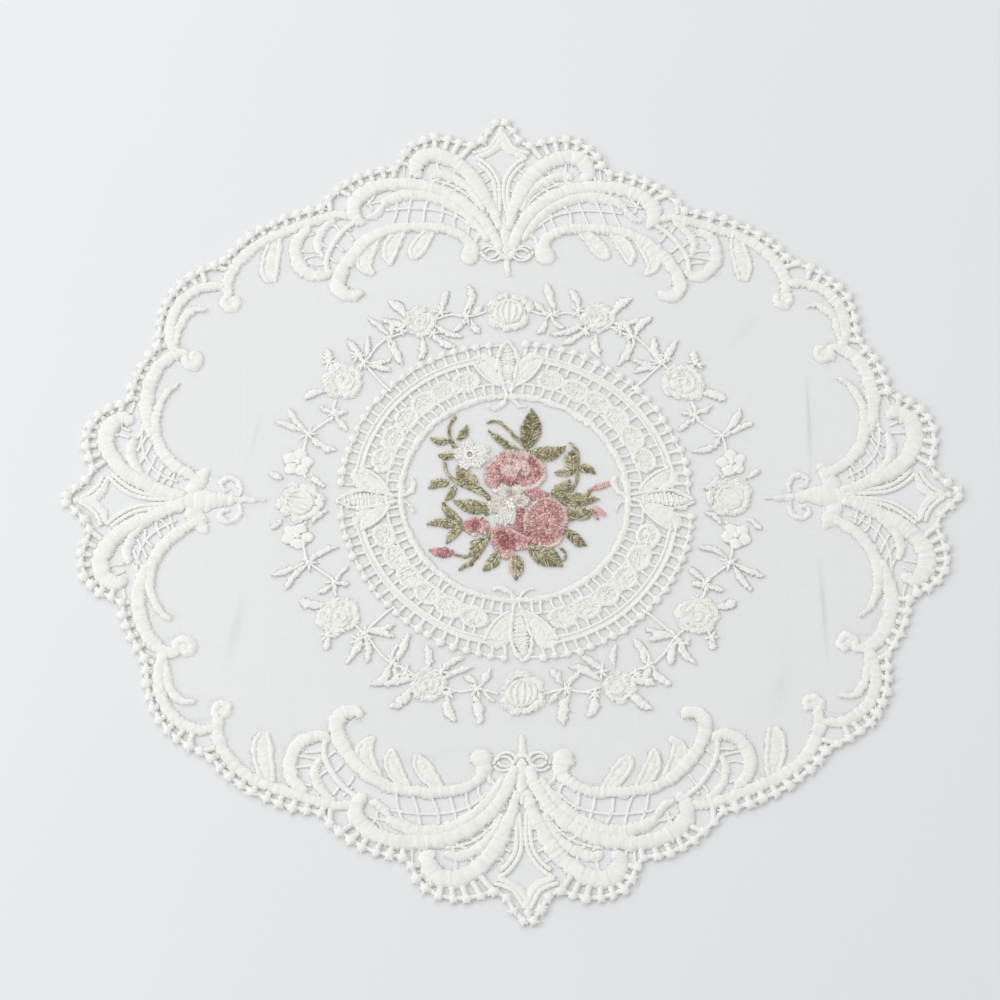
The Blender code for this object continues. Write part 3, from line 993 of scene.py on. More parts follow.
sideParts = {
    "bands": (
        ("rim", 1.9, ((127.6, 2.4, 3.6), (134.4, 3.9, 5.2), (142.2, 7.3, 6.2), (150.4, 11.8, 6.8),
            (156.8, 18.2, 7.4), (160.1, 26.4, 7.9), (158.2, 33.6, 7.7), (153.4, 36.6, 6.8),
            (149, 35, 4.6))),
        ("pad", 1.5, ((137, 6.6, 2.4), (143.4, 10.2, 3.8), (148.2, 15.8, 4.4), (149.9, 22.6, 4.4),
            (148.6, 28.2, 2.8))),
        ("rim", 1.6, ((131.2, 52.6, 1.2), (135.2, 49.6, 2.8), (138.2, 44.4, 3.6), (140.2, 37, 4.2),
            (139.8, 29, 5), (137.2, 22, 5.4), (132.6, 16, 5.2), (127, 11.8, 4.8), (120, 7.6, 3.6))),
    ),
    "latticeSides": (
        (((133, 6.2), (139.5, 9.4), (144.4, 13.8), (147, 20), (147.4, 28), (147, 33)), ((131.6, 11.6),
            (136.6, 16), (140.4, 22), (142.4, 29), (142.8, 37), (143, 42)),
            (0.03, 0.19, 0.35, 0.51, 0.67, 0.84)),
    ),
    "latticeLines": (((131, 8.4), (138, 12.4), (143, 18), (145.4, 25), (145.4, 34)),),
    "bars": (
        ((157.6, 29), (150.4, 28)), ((154.6, 33.6), (150, 31)), ((150.4, 39), (149, 44.4)),
        ((146, 38), (145, 46)), ((137, 8), (133.4, 13)), ((140, 2.2), (140.6, 4.2)),
        ((146.4, 4.2), (146.8, 6.6)), ((152, 7), (151.4, 9.4)),
    ),
    "cords": (
        ((131, 0.9), (140, 1.2), (148, 2.6), (154.4, 6.4), (158.8, 10.6)),
        ((131, 2.2), (140, 2.9), (147.6, 4.6), (153, 8), (157, 11.6)),
        ((158.8, 10.2), (160.6, 6), (163.4, 2.4), (166.8, 0)),
        ((160.6, 11), (162.4, 6.8), (165.4, 3.4), (169.4, 0.9)),
    ),
    "diamondLinks": (((160.2, 7.2), (162, 7.9)), ((162.2, 3.9), (164, 4.8))),
    "knob": (132.4, 2.2, 3.3),
    "tipBand": (
        (158.6, 10.4, 1.4), (159.4, 6.6, 2.4), (161.4, 3.2, 3.2), (164.6, 0.7, 4.0), (168.4, 0.3, 2.8),
        (172.6, 0, 2.2),
    ),
    "wing": ((127.6, 3.4, 4.6), (124, 7.2, 7.0), (121.8, 11.2, 6.2), (119.4, 14.4, 2.8)),
    "curl": (
        (107.6, 1.6, 1.6), (107.2, 5.2, 2.4), (109.2, 8.8, 2.8), (112.6, 9.4, 2.8), (114.8, 6.8, 2.4),
        (113.2, 4.4, 1.8), (111.2, 4.8, 1.2),
    ),
}
sideMiddle = {
    "column": ((132, 0, 3.4), (127, 0, 8.0), (121, 0, 10.0), (115, 0, 6.4), (109, 0, 3.6)),
    "spike": ((110.5, 0, 3.2), (104, 0, 2.8), (97.6, 0, 0.7)),
}


def drawSideHalf(stock, bars, parts):
    drawBands(stock, parts["bands"])
    disc(stock, *parts["knob"], 0.3, height=1.3)
    satinBand(stock, parts["wing"], shape="pad", height=1.1)
    satinBand(stock, parts["curl"], shape="pad", height=0.9)
    drawLattice(bars, parts)


def drawSideMiddle(stock, parts):
    satinBand(stock, parts["column"], shape="pad", height=1.2)
    satinBand(stock, parts["spike"], shape="pad", height=0.9, ends=("round", "flat"))


# Border: corners, from the fan's hook round to the side

cornerParts = {
    "bands": (
        ("rim", 1.5, ((63.2, 127.8, 3.6), (69.3, 128.4, 4.4), (75.4, 126.7, 4.7), (82.5, 124.2, 4.8),
            (90.5, 121.1, 5), (98, 117.3, 5), (104.7, 112.1, 5.2), (109.6, 105.3, 5.4),
            (112.2, 98.2, 5.2), (112.2, 91, 4.4))),
        ("rim", 1.6, ((79.4, 122.6, 3.4), (83.6, 118.6, 4.8), (85.4, 112, 5.4), (84.2, 105.8, 5.6),
            (80.2, 101.6, 5.4), (75, 100.4, 4.8), (71.2, 102.6, 3))),
        ("pad", 1.3, ((69.4, 126.8, 3), (73.4, 123, 3.8), (76.2, 118, 4), (76.4, 113, 3.4),
            (74.4, 108.8, 2))),
        ("paddle", 0.66, ((93.4, 119, 4.4), (94.2, 113, 6.6), (95.4, 107, 7.4), (95.6, 101.8, 6.6),
            (95, 97.8, 3.4))),
        ("rim", 1.6, ((112.8, 96.6, 3.8), (119.4, 96.9, 4.6), (126, 94.3, 4.9), (131.4, 89.4, 5.1),
            (134.7, 82.2, 5.1), (135.5, 75, 5.2), (134.7, 69.4, 4.8), (132.4, 65.4, 3.8))),
        ("rim", 1.5, ((120.6, 85.6, 1), (125, 86, 3.0), (129, 83.6, 3.8), (131.4, 79.2, 3.8),
            (132.6, 74, 3.4), (133, 69.6, 2.4))),
        ("rim", 1.6, ((127.6, 66.4, 3.8), (132.6, 66, 4.8), (137.9, 62.5, 5.7), (141.8, 56.3, 6.1),
            (143.8, 49.5, 6.3), (144.4, 42, 6.2), (143.5, 35, 5.2), (141.6, 28, 3.6))),
    ),
    "bars": (
        ((62.6, 116.4), (66, 121)), ((66.6, 111.4), (70.4, 115)), ((69, 106.4), (72.6, 109.4)),
        ((63, 121), (66.6, 124.4)), ((67, 119.6), (70, 124)), ((71.4, 113.4), (76, 117)),
        ((73.4, 106), (80, 106.6)), ((76.6, 112), (84, 112.4)), ((77.6, 120), (83, 119)),
        ((72.6, 110), (84, 107.6)),
    ),
    "cords": (((59.6, 126.4), (66, 121.2), (70.8, 114.4), (73.4, 107.4), (73, 100.6)),),
    # x, y, radius, where its curl starts
    "knobs": ((110.8, 89.4, 4.8, 1.2), (126.2, 64.2, 5.2, 0.6)),
    # turn from there, and shares of the radius: reach, width
    "knobCurl": ((0, 0.62, 0.7), (1.2, 0.62, 0.8), (2.4, 0.6, 0.84), (3.6, 0.55, 0.8), (4.8, 0.45, 0.7),
                 (5.8, 0.3, 0.5)),
}


def drawCorner(stock, bars, parts, look=latticeLook):
    drawBands(stock, parts["bands"])
    for x, y, radius, start in parts["knobs"]:
        curl = []
        for a, reach, width in parts["knobCurl"]:
            curl.append((x + radius * reach * math.cos(start - a), y + radius * reach * math.sin(start - a),
                         radius * width))
        satinBand(stock, curl, shape="pad", height=1.2)
        disc(stock, x, y, radius * 0.6, height=0.9)
    for start, end in parts["bars"]:
        bar(bars, start, end, thick=look["cornerBar"])
    for line in parts["cords"]:
        cord(bars, line, thick=look["cornerCord"], level=0.55, sides=8)


def mirroredDraw(stocks, flips, draw, parts):
    for flip in flips:
        steer(stocks, flip=flip)
        draw(*stocks, parts)
    steer(stocks, flip=(1, 1))


fans = newStock(trace=True)
sides = newStock(trace=True)
lattice = newStock()
mirroredDraw((fans, lattice), quarters, drawFanHalf, fanParts)
mirroredDraw((sides, lattice), quarters, drawSideHalf, sideParts)
mirroredDraw((sides, lattice), quarters, drawCorner, cornerParts)
mirroredDraw((fans,), ((1, 1), (1, -1)), drawFanMiddle, fanMiddle)
mirroredDraw((sides,), ((1, 1), (-1, 1)), drawSideMiddle, sideMiddle)


# Picot edge

picotEdge = {
    "pitch": 5.2,
    "inset": 1.6,        # from the doily's edge to the middle of a knot
    "size": 4.2,
    "knotShare": 0.94,   # of the size, for the knot itself
    "level": 0.9,        # height of a knot's middle
    "ends": 4,           # loose ends of thread on each knot
    "endReach": (0.5, 0.78), "endThick": 1.15,
    "cord": 1.9, "cordLevels": (0.84, 0.74), "cordSag": 0.4,
    "leg": 2.6, "legLevels": (0.82, 0.5), "longestLeg": 9,
    "knotJitter": 0.16,
    "start": (0.0, 176.8),
    # a quarter of the doily's edge: end x, end y, bulge to the outside
    "edge": ((5.4, 172.2, 0.9), (8.8, 166.8, 0.2), (14.0, 164.5, -0.6), (44.0, 151.5, 9.0),
             (76.0, 132.5, 4.6), (116.0, 108.3, 5.0), (141.5, 70.5, 8.6), (152.5, 45.0, 2.2),
             (166.5, 15.0, 9.0), (169.6, 8.2, -0.4), (177.4, 0.0, 0.9)),
}


def bulgedLine(start, rows, step=0.5):
    # points along a chain of arcs
    points = [np.array(start, float)]
    for x, y, bulge in rows:
        first, last = points[-1], np.array((x, y), float)
        run = last - first
        chord = np.linalg.norm(run)
        outside = np.array((-run[1], run[0])) / chord * np.sign(bulge)
        bulge = abs(bulge)
        part = np.linspace(0, 1, max(3, int(chord / step)))[1:, None]
        radius = (chord**2 / 4 + bulge**2) / (2 * bulge)
        reach = (part - 0.5) * chord
        rise = np.sqrt(np.maximum(radius**2 - reach**2, 0)) - (radius - bulge)
        points += list(first + run * part + outside * rise)
    return np.array(points)


def picotPlaces(edge):
    quarter = bulgedLine(edge["start"], edge["edge"])
    quarter = quarter - leftOf(quarter) * edge["inset"]
    length = np.concatenate([[0], np.cumsum(np.linalg.norm(np.diff(quarter, axis=0), axis=1))])
    count = round(length[-1] / edge["pitch"])
    at = (np.arange(count) + 0.5) / count * length[-1]
    return np.stack([np.interp(at, length, quarter[:, axis]) for axis in (0, 1)], axis=1)


def nearestBand(traces, point):
    # the nearest place just inside a satin band, and how far off its edge is
    gaps = np.linalg.norm(traces[:, :2] - point, axis=1) - traces[:, 2]
    best = int(np.argmin(gaps))
    centre, halfWidth = traces[best, :2], traces[best, 2]
    away = point - centre
    return centre + away / max(np.linalg.norm(away), 1e-6) * max(halfWidth - 0.6, 0), gaps[best]


def spikyKnot(stock, x, y, size, look):
    # a knot with loose ends of thread standing out round it
    level = look["level"]
    starKnot(stock, x, y, size=size, level=level, points=int(dice.integers(4, 6)))
    spray(stock, x, y, look["ends"], 0.35, look["endReach"], level + 0.35, level - 0.05, look["endThick"],
          size)


def drawPicots(stock, edge, traces):
    quarter = picotPlaces(edge)
    ring = np.concatenate([quarter, (quarter * (1, -1))[::-1], -quarter, (quarter * (-1, 1))[::-1]])
    ring = ring + dice.normal(0, edge["knotJitter"], ring.shape)
    for i, point in enumerate(ring):
        after = ring[(i + 1) % len(ring)]
        size = edge["size"] * dice.uniform(0.85, 1.12)
        spikyKnot(stock, *point, size * edge["knotShare"], edge)
        inward = -point / np.linalg.norm(point)
        middle = (point + after) / 2 + inward * edge["cordSag"]
        high, low = edge["cordLevels"]
        cord(stock, [(*point, high), (*middle, low), (*after, high)], thick=edge["cord"], step=0.7)
        foot, gap = nearestBand(traces, point)
        if gap < edge["longestLeg"]:
            high, low = edge["legLevels"]
            cord(stock, [(*point, high), (*foot, low)], thick=edge["leg"], sides=5, step=0.75)


picots = newStock()
drawPicots(picots, picotEdge, np.concatenate(fans["trace"] + sides["trace"]))

borderPieces = [
    makePiece("border_fans", fans, laceThread, "lace thread", "lace_border"),
    makePiece("border_scrolls", sides, laceThread, "lace thread", "lace_border"),
    makePiece("border_lattice", lattice, laceThread, "lace thread", "lace_border"),
    makePiece("border_picots", picots, laceThread, "lace thread", "lace_border"),
]


# Lace ring round the bouquet

ringParts = {
    "centre": (-0.8, 0.0, 0.0),
    "cordRadius": 44.8, "cordWidth": 2.9,
    # from radius, to radius, spacing, degrees left free beside each axis
    "innerBars": (45.8, 51.0, 3.7, 4),
    "outerBars": (58.0, 62.6, 4.4, 11),
    "innerCord": (50.8, 1.2),
    "ovalRadius": 54.4, "ovalAngles": (18.5, 29.5, 40.0, 50.5, 61.0, 72.0), "ovalSize": (10.8, 8.8),
    "ovalOutline": 2.2, "ovalThreads": (-0.66, 0.66, 3), "ovalStitches": 18,
    "doubleCord": ((61.9, 1.25), (64.1, 1.35)), "cordBed": (63.0, 3.0), "doubleCordSpan": (10.5, 79.5),
    "beadRadius": 69.4, "beadCount": 88, "beadSize": 3.4, "beadBarFrom": 64.3, "beadFree": 2.5,
}

# thickness and height of each kind of thread in the ring
ringThreads = {
    "netAlong": (0.9, 0.42), "netAcross": (0.9, 0.44), "spoke": (1.4, 0.5),
    "beadSpoke": (1.6, 0.55), "beadLink": (1.2, 0.5),
    "wingEdge": (1.4, 0.75), "rung": (1.0, 0.5), "midrib": (0.9, 0.46),
}

# the motif on each axis, drawn as at +Y: right-hand half of its outline
axisMotif = {
    "outline": (
        (0, 70.8, 1.4), (2.6, 67, 1.9), (3.9, 62, 2.0), (3.3, 56, 1.9), (2.0, 50, 1.9), (0.8, 46, 1.8),
    ),
    "wing": ((2.2, 49, 2.4), (4.8, 53.2, 5.8), (8.2, 57.2, 6.2), (12.2, 60.6, 3.2)),
    "wingEdge": ((3.0, 49.4), (7.6, 52.2), (11.2, 56), (14.2, 61.4)),
    "flank": ((3.8, 57, 2.4), (6.2, 60.8, 4.4), (9.8, 63.2, 4.0), (13.4, 62.8, 2.0)),
    "midrib": ((0, 68), (0, 48)),
    # y and half length of each
    "rungs": (
        (67.4, 1.0), (65.8, 1.7), (64.2, 2.3), (62.6, 2.8), (61, 3.0), (59.4, 2.9), (57.8, 2.7),
        (56.2, 2.4), (54.6, 2.1), (53, 1.8), (51.4, 1.4),
    ),
    "bed": ((0, 69.4, 1.6), (0, 66, 4.4), (0, 61, 6.4), (0, 56, 5.4), (0, 51, 3.4), (0, 47, 1.4)),
    "curl": ((0.8, 46.4, 1.8), (1.2, 43.4, 1.8), (2.8, 40.8, 2.3), (6.2, 39.4, 2.8), (9.2, 40.4, 1.6)),
    "smallCurl": ((-0.8, 46.4, 1.4), (-1.8, 42.8, 1.3), (-4.4, 40.4, 1.5), (-7.2, 39.6, 1.0)),
}


def turned(u, v, x, y, turn):
    # the point u, v of a pattern that is turned and then moved to x, y
    return x + u * math.cos(turn) - v * math.sin(turn), y + u * math.sin(turn) + v * math.cos(turn)


def drawOval(stock, bars, parts, degrees):
    x, y = arcPoint(parts["ovalRadius"], degrees)
    turn = math.radians(-degrees)
    long, wide = parts["ovalSize"][0] / 2 - 0.5, parts["ovalSize"][1] / 2 - 0.5
    knots = [(*turned(long * math.cos(a), wide * math.sin(a), x, y, turn), parts["ovalOutline"])
             for a in np.linspace(0, 2 * np.pi, 13)]
    satinBand(stock, knots, shape="pad", height=0.6, base=0.3, fray=0.45, ends=("flat", "flat"))
    fill = [(*turned(share * long, 0, x, y, turn), 2 * wide) for share in (-0.9, -0.4, 0.4, 0.9)]
    satinBand(stock, fill, shape="bed", height=0.14, base=0.3, pitch=1.1, relief=0.04)
    for line in np.linspace(*parts["ovalThreads"]):
        reach = math.sqrt(1 - line**2)
        bar(bars, turned(-reach * long, line * wide, x, y, turn),
            turned(reach * long, line * wide, x, y, turn), *ringThreads["netAlong"])
        lean = dice.normal(0, 0.15)
        bar(bars, turned((line - lean) * long, -reach * wide, x, y, turn),
            turned((line + lean) * long, reach * wide, x, y, turn), *ringThreads["netAcross"])
    # loose short stitches in the netting
    count = parts["ovalStitches"]
    angle, reach = dice.uniform(0, 2 * np.pi, count), np.sqrt(dice.uniform(0, 1, count)) * 0.85
    heading, length = dice.uniform(0, np.pi, count), dice.uniform(1.0, 2.0, count)
    middles = np.array([turned(long * r * math.cos(a), wide * r * math.sin(a), x, y, turn)
                        for a, r in zip(angle, reach)])
    lift = dice.uniform(0.4, 0.6, (count, 1))
    crossStitches(stock, middles, heading, length[:, None] / 2, lift, 0.7, 0.1,
                  dice.uniform(0.5, 1.0, count))


def drawAxisMotif(stock, bars, motif, mirror):
    for hand in (1, -1):
        steer((stock, bars), flip=(hand, 1))
        satinBand(stock, motif["wing"], shape="leaf", height=0.6, base=0.35, slant=0.6)
        satinBand(stock, motif["flank"], shape="pad", height=0.55, base=0.35, slant=0.4)
        satinBand(stock, motif["outline"], shape="pad", height=0.65, base=0.45)
        cord(bars, motif["wingEdge"], *ringThreads["wingEdge"])
    steer((stock, bars), flip=(1, 1))
    satinBand(stock, motif["bed"], shape="bed", height=0.12, base=0.34, pitch=1.1, relief=0.05)
    for y, half in motif["rungs"]:
        bar(bars, (-half, y - 0.4), (half, y + 0.4), *ringThreads["rung"], bow=0.3)
    bar(bars, *motif["midrib"], *ringThreads["midrib"])
    steer((stock,), flip=(mirror, 1))
    satinBand(stock, motif["curl"], shape="pad", height=0.7, base=0.35)
    satinBand(stock, motif["smallCurl"], shape="pad", height=0.5, base=0.35)
    steer((stock,), flip=(1, 1))


def drawRing(stock, bars, parts, motif):
    steer((stock, bars), shift=parts["centre"])
    satinBand(stock, arcKnots(parts["cordRadius"], 0, 360, parts["cordWidth"]), shape="pad", height=0.75,
              base=0.35, ends=("flat", "flat"))
    for low, high, spacing, free in (parts["innerBars"], parts["outerBars"]):
        count = round(2 * math.pi * low / spacing)
        for i in range(count):
            degrees = 360 * (i + 0.5) / count
            if offAxis(degrees) > free:
                bar(bars, arcPoint(low, degrees), arcPoint(high, degrees + dice.normal(0, 0.5)),
                    *ringThreads["spoke"])
    radius, thick = parts["innerCord"]
    cord(bars, arcKnots(radius, 0, 360), thick=thick, level=0.5)
    for quarter in range(4):
        for degrees in parts["ovalAngles"]:
            drawOval(stock, bars, parts, 90 * quarter + degrees)
        first, last = (90 * quarter + edge for edge in parts["doubleCordSpan"])
        radius, width = parts["cordBed"]
        satinBand(stock, arcKnots(radius, first, last, width), shape="bed", height=0.3, base=0.3, pitch=1.2,
                  relief=0.05, ends=("flat", "flat"))
        for radius, thick in parts["doubleCord"]:
            cord(bars, arcKnots(radius, first, last), thick=thick, level=0.6, sides=7)
    pace = 360 / parts["beadCount"]
    for i in range(parts["beadCount"]):
        degrees = pace * (i + 0.5)
        if offAxis(degrees) < parts["beadFree"]:
            continue
        place = arcPoint(parts["beadRadius"] + dice.normal(0, 0.2), degrees + dice.normal(0, 0.2))
        starKnot(stock, *place, size=parts["beadSize"] * dice.uniform(0.88, 1.12), level=0.7, spikes=0.06)
        bar(bars, place, arcPoint(parts["beadBarFrom"] - 0.6, degrees), *ringThreads["beadSpoke"])
        bar(bars, place, arcPoint(parts["beadRadius"] - 0.4, degrees + pace), *ringThreads["beadLink"])
    for quarter in range(4):
        steer((stock, bars), turn=-math.pi / 2 * quarter)
        drawAxisMotif(stock, bars, motif, -1 if quarter in (0, 1) else 1)


ring = newStock()
ringBars = newStock()
drawRing(ring, ringBars, ringParts, axisMotif)
ringPieces = [
    makePiece("ring_satin", ring, laceThread, "lace thread"),
    makePiece("ring_bars", ringBars, laceThread, "lace thread"),
]


# Wreath of white roses and sprigs

wreathParts = {
    "centre": (-0.8, 0.0, 0.0),
    # on the axes, drawn once each: x, y, radius, turn in degrees
    "axisRoses": ((0, 84, 8.8, 0), (0, -84, 8.8, 180), (84.5, 1, 8.4, 60), (-84.5, -1, 8.4, -110)),
    # the rest is one quarter's table
    "roses": ((36.5, 80.5, 6.6, 25), (68.6, 51.6, 8.0, 65)),
    "flower": (85.6, 16.4, 6.4),
    # root x, y, tip x, y, width, bend
    "leaves": (
        (18.4, 84, 16, 96.5, 4.2, 0.1), (27.6, 84.5, 24.6, 94, 4.0, -0.1),
        (30.5, 78.5, 17.6, 73, 3.6, 0.12), (31, 74.6, 21.6, 68.6, 3.2, 0.1),
        (41.4, 81, 49.4, 90, 4.4, 0.1), (41, 78, 51.4, 80.6, 3.6, -0.1), (15.4, 80.6, 11.4, 74, 2.8, 0.1),
        (17, 80, 22.4, 75.4, 2.8, 0.0), (15, 82.4, 10.2, 88, 2.6, 0.0), (50, 73, 57.6, 80.4, 3.6, 0.1),
        (48.6, 73, 46.6, 79, 2.8, 0.0), (47.4, 71, 43.4, 59.4, 3.6, 0.1),
        (35.2, 73, 36.2, 62.6, 3.4, -0.1), (60.4, 61, 66.6, 71.4, 3.2, 0.05),
        (59.6, 61.4, 58, 72.4, 3.0, 0.05), (58.6, 59.4, 48.4, 61.6, 3.2, 0.1),
        (58.8, 58.6, 48.6, 55.6, 3.2, -0.1), (73, 60, 74, 66, 4.0, 0.0), (75, 47, 84, 44.6, 4.4, 0.12),
        (72, 37.4, 66.4, 38.6, 2.6, 0.0), (72.4, 38.4, 78.6, 41.4, 2.6, 0.0),
        (71.6, 36, 66.4, 30.6, 2.6, 0.0), (82.6, 29.4, 89.6, 40.6, 3.2, -0.05),
        (83.4, 29, 95, 34.6, 3.2, 0.05), (81.4, 27.6, 70.6, 21.6, 3.4, 0.1),
        (80.4, 11.4, 74.4, 5.4, 2.4, 0.1), (91, 8.6, 96, 13, 2.8, 0.0),
    ),
    "stems": (
        ((40.6, 76.4), (45, 73.6), (49.4, 72), (54, 68), (58.6, 61.6), (60, 60)),
        ((60, 60), (56, 55.6), (50.4, 49.6), (48, 47.6)),
        ((9, 84), (13, 82.6), (17, 82), (23, 83), (30, 81)),
        ((18.4, 84), (17.6, 82)),
        ((71, 43.6), (72, 40), (72, 37), (76, 33.4), (82, 28.8)),
        ((60, 60), (63, 57)),
        ((82, 28.8), (83.2, 24), (83.6, 20)),
        ((82, 9.6), (83, 11)),
        ((49.4, 72), (49, 68), (47, 64)),
    ),
    "sprays": (
        (17, 82), (27.6, 84), (48.8, 72), (44, 76), (59.6, 60.4), (72, 37.6), (82, 28.6), (73.4, 60.4),
        (62, 63), (30.6, 74.6),
    ),
}


# a nested rose, in shares of its size: middle x, y, radius, from and to degrees, width
nestedPetals = (
    (0.0, 0.0, 0.80, -165, -82, 0.44), (0.0, 0.0, 0.84, -96, -20, 0.42), (0.0, 0.0, 0.80, -34, 42, 0.46),
    (0.0, 0.0, 0.84, 28, 104, 0.42), (0.0, 0.0, 0.80, 92, 205, 0.44), (0.0, -0.06, 0.5, -150, -30, 0.34),
    (0.02, -0.04, 0.52, -52, 66, 0.32), (0.0, 0.0, 0.5, 50, 205, 0.34),
    (0.0, 0.06, 0.22, -120, 200, 0.26),
)

# a cupped rose: low petals round it, then ribs that fan up from its foot
cuppedPetals = (
    (0.0, 0.0, 0.82, -170, -100, 0.38), (0.0, 0.0, 0.84, -112, -50, 0.36), (0.0, 0.0, 0.84, -62, -4, 0.4),
    (0.0, 0.0, 0.86, -10, 48, 0.36), (0.0, 0.0, 0.86, 40, 92, 0.36), (0.0, 0.0, 0.86, 84, 140, 0.36),
    (0.0, 0.0, 0.84, 130, 194, 0.4),
)
cupRibs = (
    ((-0.14, -0.62), (-0.52, -0.3), (-0.56, 0.12), (-0.36, 0.44)),
    ((-0.08, -0.64), (-0.3, -0.26), (-0.32, 0.16), (-0.18, 0.5)),
    ((0.0, -0.64), (-0.04, -0.24), (-0.04, 0.2), (0.0, 0.52)),
    ((0.08, -0.64), (0.26, -0.26), (0.28, 0.16), (0.18, 0.5)),
    ((0.14, -0.62), (0.5, -0.3), (0.56, 0.12), (0.36, 0.44)),
)


# stitches: loose ones along each petal's rim; wander: how far petals stray from their table
roseBuild = {
    "padHeight": 0.45, "padBase": 0.3, "petalBase": 0.3, "petalHeight": 0.55, "rowRise": 0.03,
    "wander": 0.03, "turnWander": 6, "reachWander": 0.04,
    "stitches": 7, "stitchReach": (0.6, 1.1), "stitchThick": 0.55,
}


def drawRosePetals(stock, x, y, size, turn, petals, padShare, look=roseBuild):
    # overlapping petals on a round pad, each with loose stitches along its rim
    turn = math.radians(turn)
    disc(stock, x, y, size * padShare, turn, height=look["padHeight"], base=look["padBase"], pitch=1.2)
    for row, (u, v, radius, first, last, width) in enumerate(petals):
        du, dv = dice.normal(0, look["wander"], 2)
        centre = turned(size * (u + du), size * (v + dv), x, y, turn)
        angles = np.radians(np.linspace(first, last, 6) + dice.normal(0, look["turnWander"])) + turn
        reach = size * radius * (1 + dice.normal(0, look["reachWander"], 6))
        widths = size * width * (0.5 + 0.6 * np.sin(np.linspace(0.25, 2.9, 6)))
        knots = np.stack([centre[0] + reach * np.cos(angles), centre[1] + reach * np.sin(angles), widths],
                         axis=1)
        level = look["petalBase"] + 0.07 * (row % 3)
        rise = look["rowRise"] * row
        satinBand(stock, knots, shape="pad", height=look["petalHeight"] + rise, base=level)
        count = look["stitches"]
        spots = dice.uniform(0, 5, count)
        angle, radii, broad = (np.interp(spots, np.arange(6), column) for column in (angles, reach, widths))
        rim = radii + broad * dice.uniform(0.1, 0.5, count)
        middles = centre + rim[:, None] * directions(angle)
        heading = angle + np.pi / 2 + dice.normal(0, 0.5, count)
        lift = np.full((count, 1), level + 0.5 + rise)
        crossStitches(stock, middles, heading, dice.uniform(*look["stitchReach"], (count, 1)), lift,
                      look["stitchThick"], 0.12, np.full(count, 0.95))


def drawNestedRose(stock, x, y, size, turn):
    drawRosePetals(stock, x, y, size, turn, nestedPetals, 0.8)


def drawCuppedRose(stock, x, y, size, turn):
    drawRosePetals(stock, x, y, size, turn, cuppedPetals, 0.78)
    turn = math.radians(turn)
    for rib in cupRibs:
        knots = [(*turned(u * size, v * size, x, y, turn), size * width)
                 for (u, v), width in zip(rib, (0.1, 0.2, 0.22, 0.14))]
        satinBand(stock, knots, shape="pad", height=0.85, base=0.4, fray=0.25)
    brim = [(*turned(0.6 * size * math.cos(a), 0.56 * size * math.sin(a), x, y, turn), 1.5)
            for a in np.linspace(-0.2, 3.3, 7)]
    satinBand(stock, brim, shape="bed", height=0.9, base=0.4)


def drawPetals(stock, petals, spread, thick=0.52):
    # a low padded bed for each petal, and its stitches over it
    for height, base, tone, knots in petals:
        lift = height * 0.55
        satinBand(stock, knots, shape="bed", height=lift, base=base, pitch=1.8, relief=0.02,
                  tone=sum(tone) / 2, spread=0.2)
        stitchFill(stock, knots, height=lift, base=base + 0.08, tone=tone, spread=spread, thick=thick)


# one petal of a five-petalled flower, in shares of its size: reach, width
wreathPetal = ((0.15, 0.5), (0.55, 1.0), (0.95, 0.74))
bouquetPetal = ((0.28, 0.5), (0.64, 0.9), (1.0, 0.56))


def petalWay(x, y, size, degrees, petal):
    turn = math.radians(degrees)
    return [(x + size * reach * math.cos(turn), y + size * reach * math.sin(turn), size * width)
            for reach, width in petal]


def drawSmoothFlower(stock, x, y, size):
    # five padded petals and a knot
    for i in range(5):
        way = petalWay(x, y, size, 100 + 72 * i + dice.normal(0, 5), wreathPetal)
        satinBand(stock, way, shape="bed", height=0.62, base=0.45, relief=0.17, tone=0.9)
    starKnot(stock, x, y, size=size * 0.42, level=0.8, tone=1.0)


def drawFiveFlower(stock, x, y, size, tone):
    # five petals of laid stitches, with a corded eye
    petals = [(0.7, 0.45, (tone, tone + 0.1), petalWay(x, y, size, 100 + 72 * i, bouquetPetal))
              for i in range(5)]
    drawPetals(stock, petals, spread=0.14, thick=0.78)
    circle = [(x + size * 0.27 * math.cos(a), y + size * 0.27 * math.sin(a))
              for a in np.linspace(0, 6.28, 9)]
    cord(stock, circle, thick=1.2, level=1.15, tone=1.0)
    disc(stock, x, y, size * 0.17, 0.0, height=0.4, base=0.6, pitch=0.7, tone=0.25)


def drawWreathQuarter(roses, sprigs, parts):
    for x, y, size, turn in parts["roses"]:
        dx, dy = dice.normal(0, 0.5, 2)
        drawNestedRose(roses, x + dx, y + dy, size, turn + dice.normal(0, 14))
    drawSmoothFlower(roses, *parts["flower"])
    for x0, y0, x1, y1, width, bend in parts["leaves"]:
        dx, dy = dice.normal(0, 0.45, 2)
        width, bend = width * dice.uniform(0.72, 0.95), bend + dice.normal(0, 0.04)
        leaf(sprigs, (x0, y0), (x1 + dx, y1 + dy), width * 1.06, bend, shape="bed", height=0.66, base=0.44,
             slant=0.75, fray=0.6, relief=0.17, tone=1.0)
    for stem in parts["stems"]:
        cord(sprigs, stem, thick=1.1, level=0.58, tone=1.0)
    for x, y in parts["sprays"]:
        spray(sprigs, x, y, 6, 0.2, (2.4, 4.6), 0.7, 0.55, 1.3)
        starKnot(sprigs, x, y, size=2.2, level=0.7, tone=0.9)


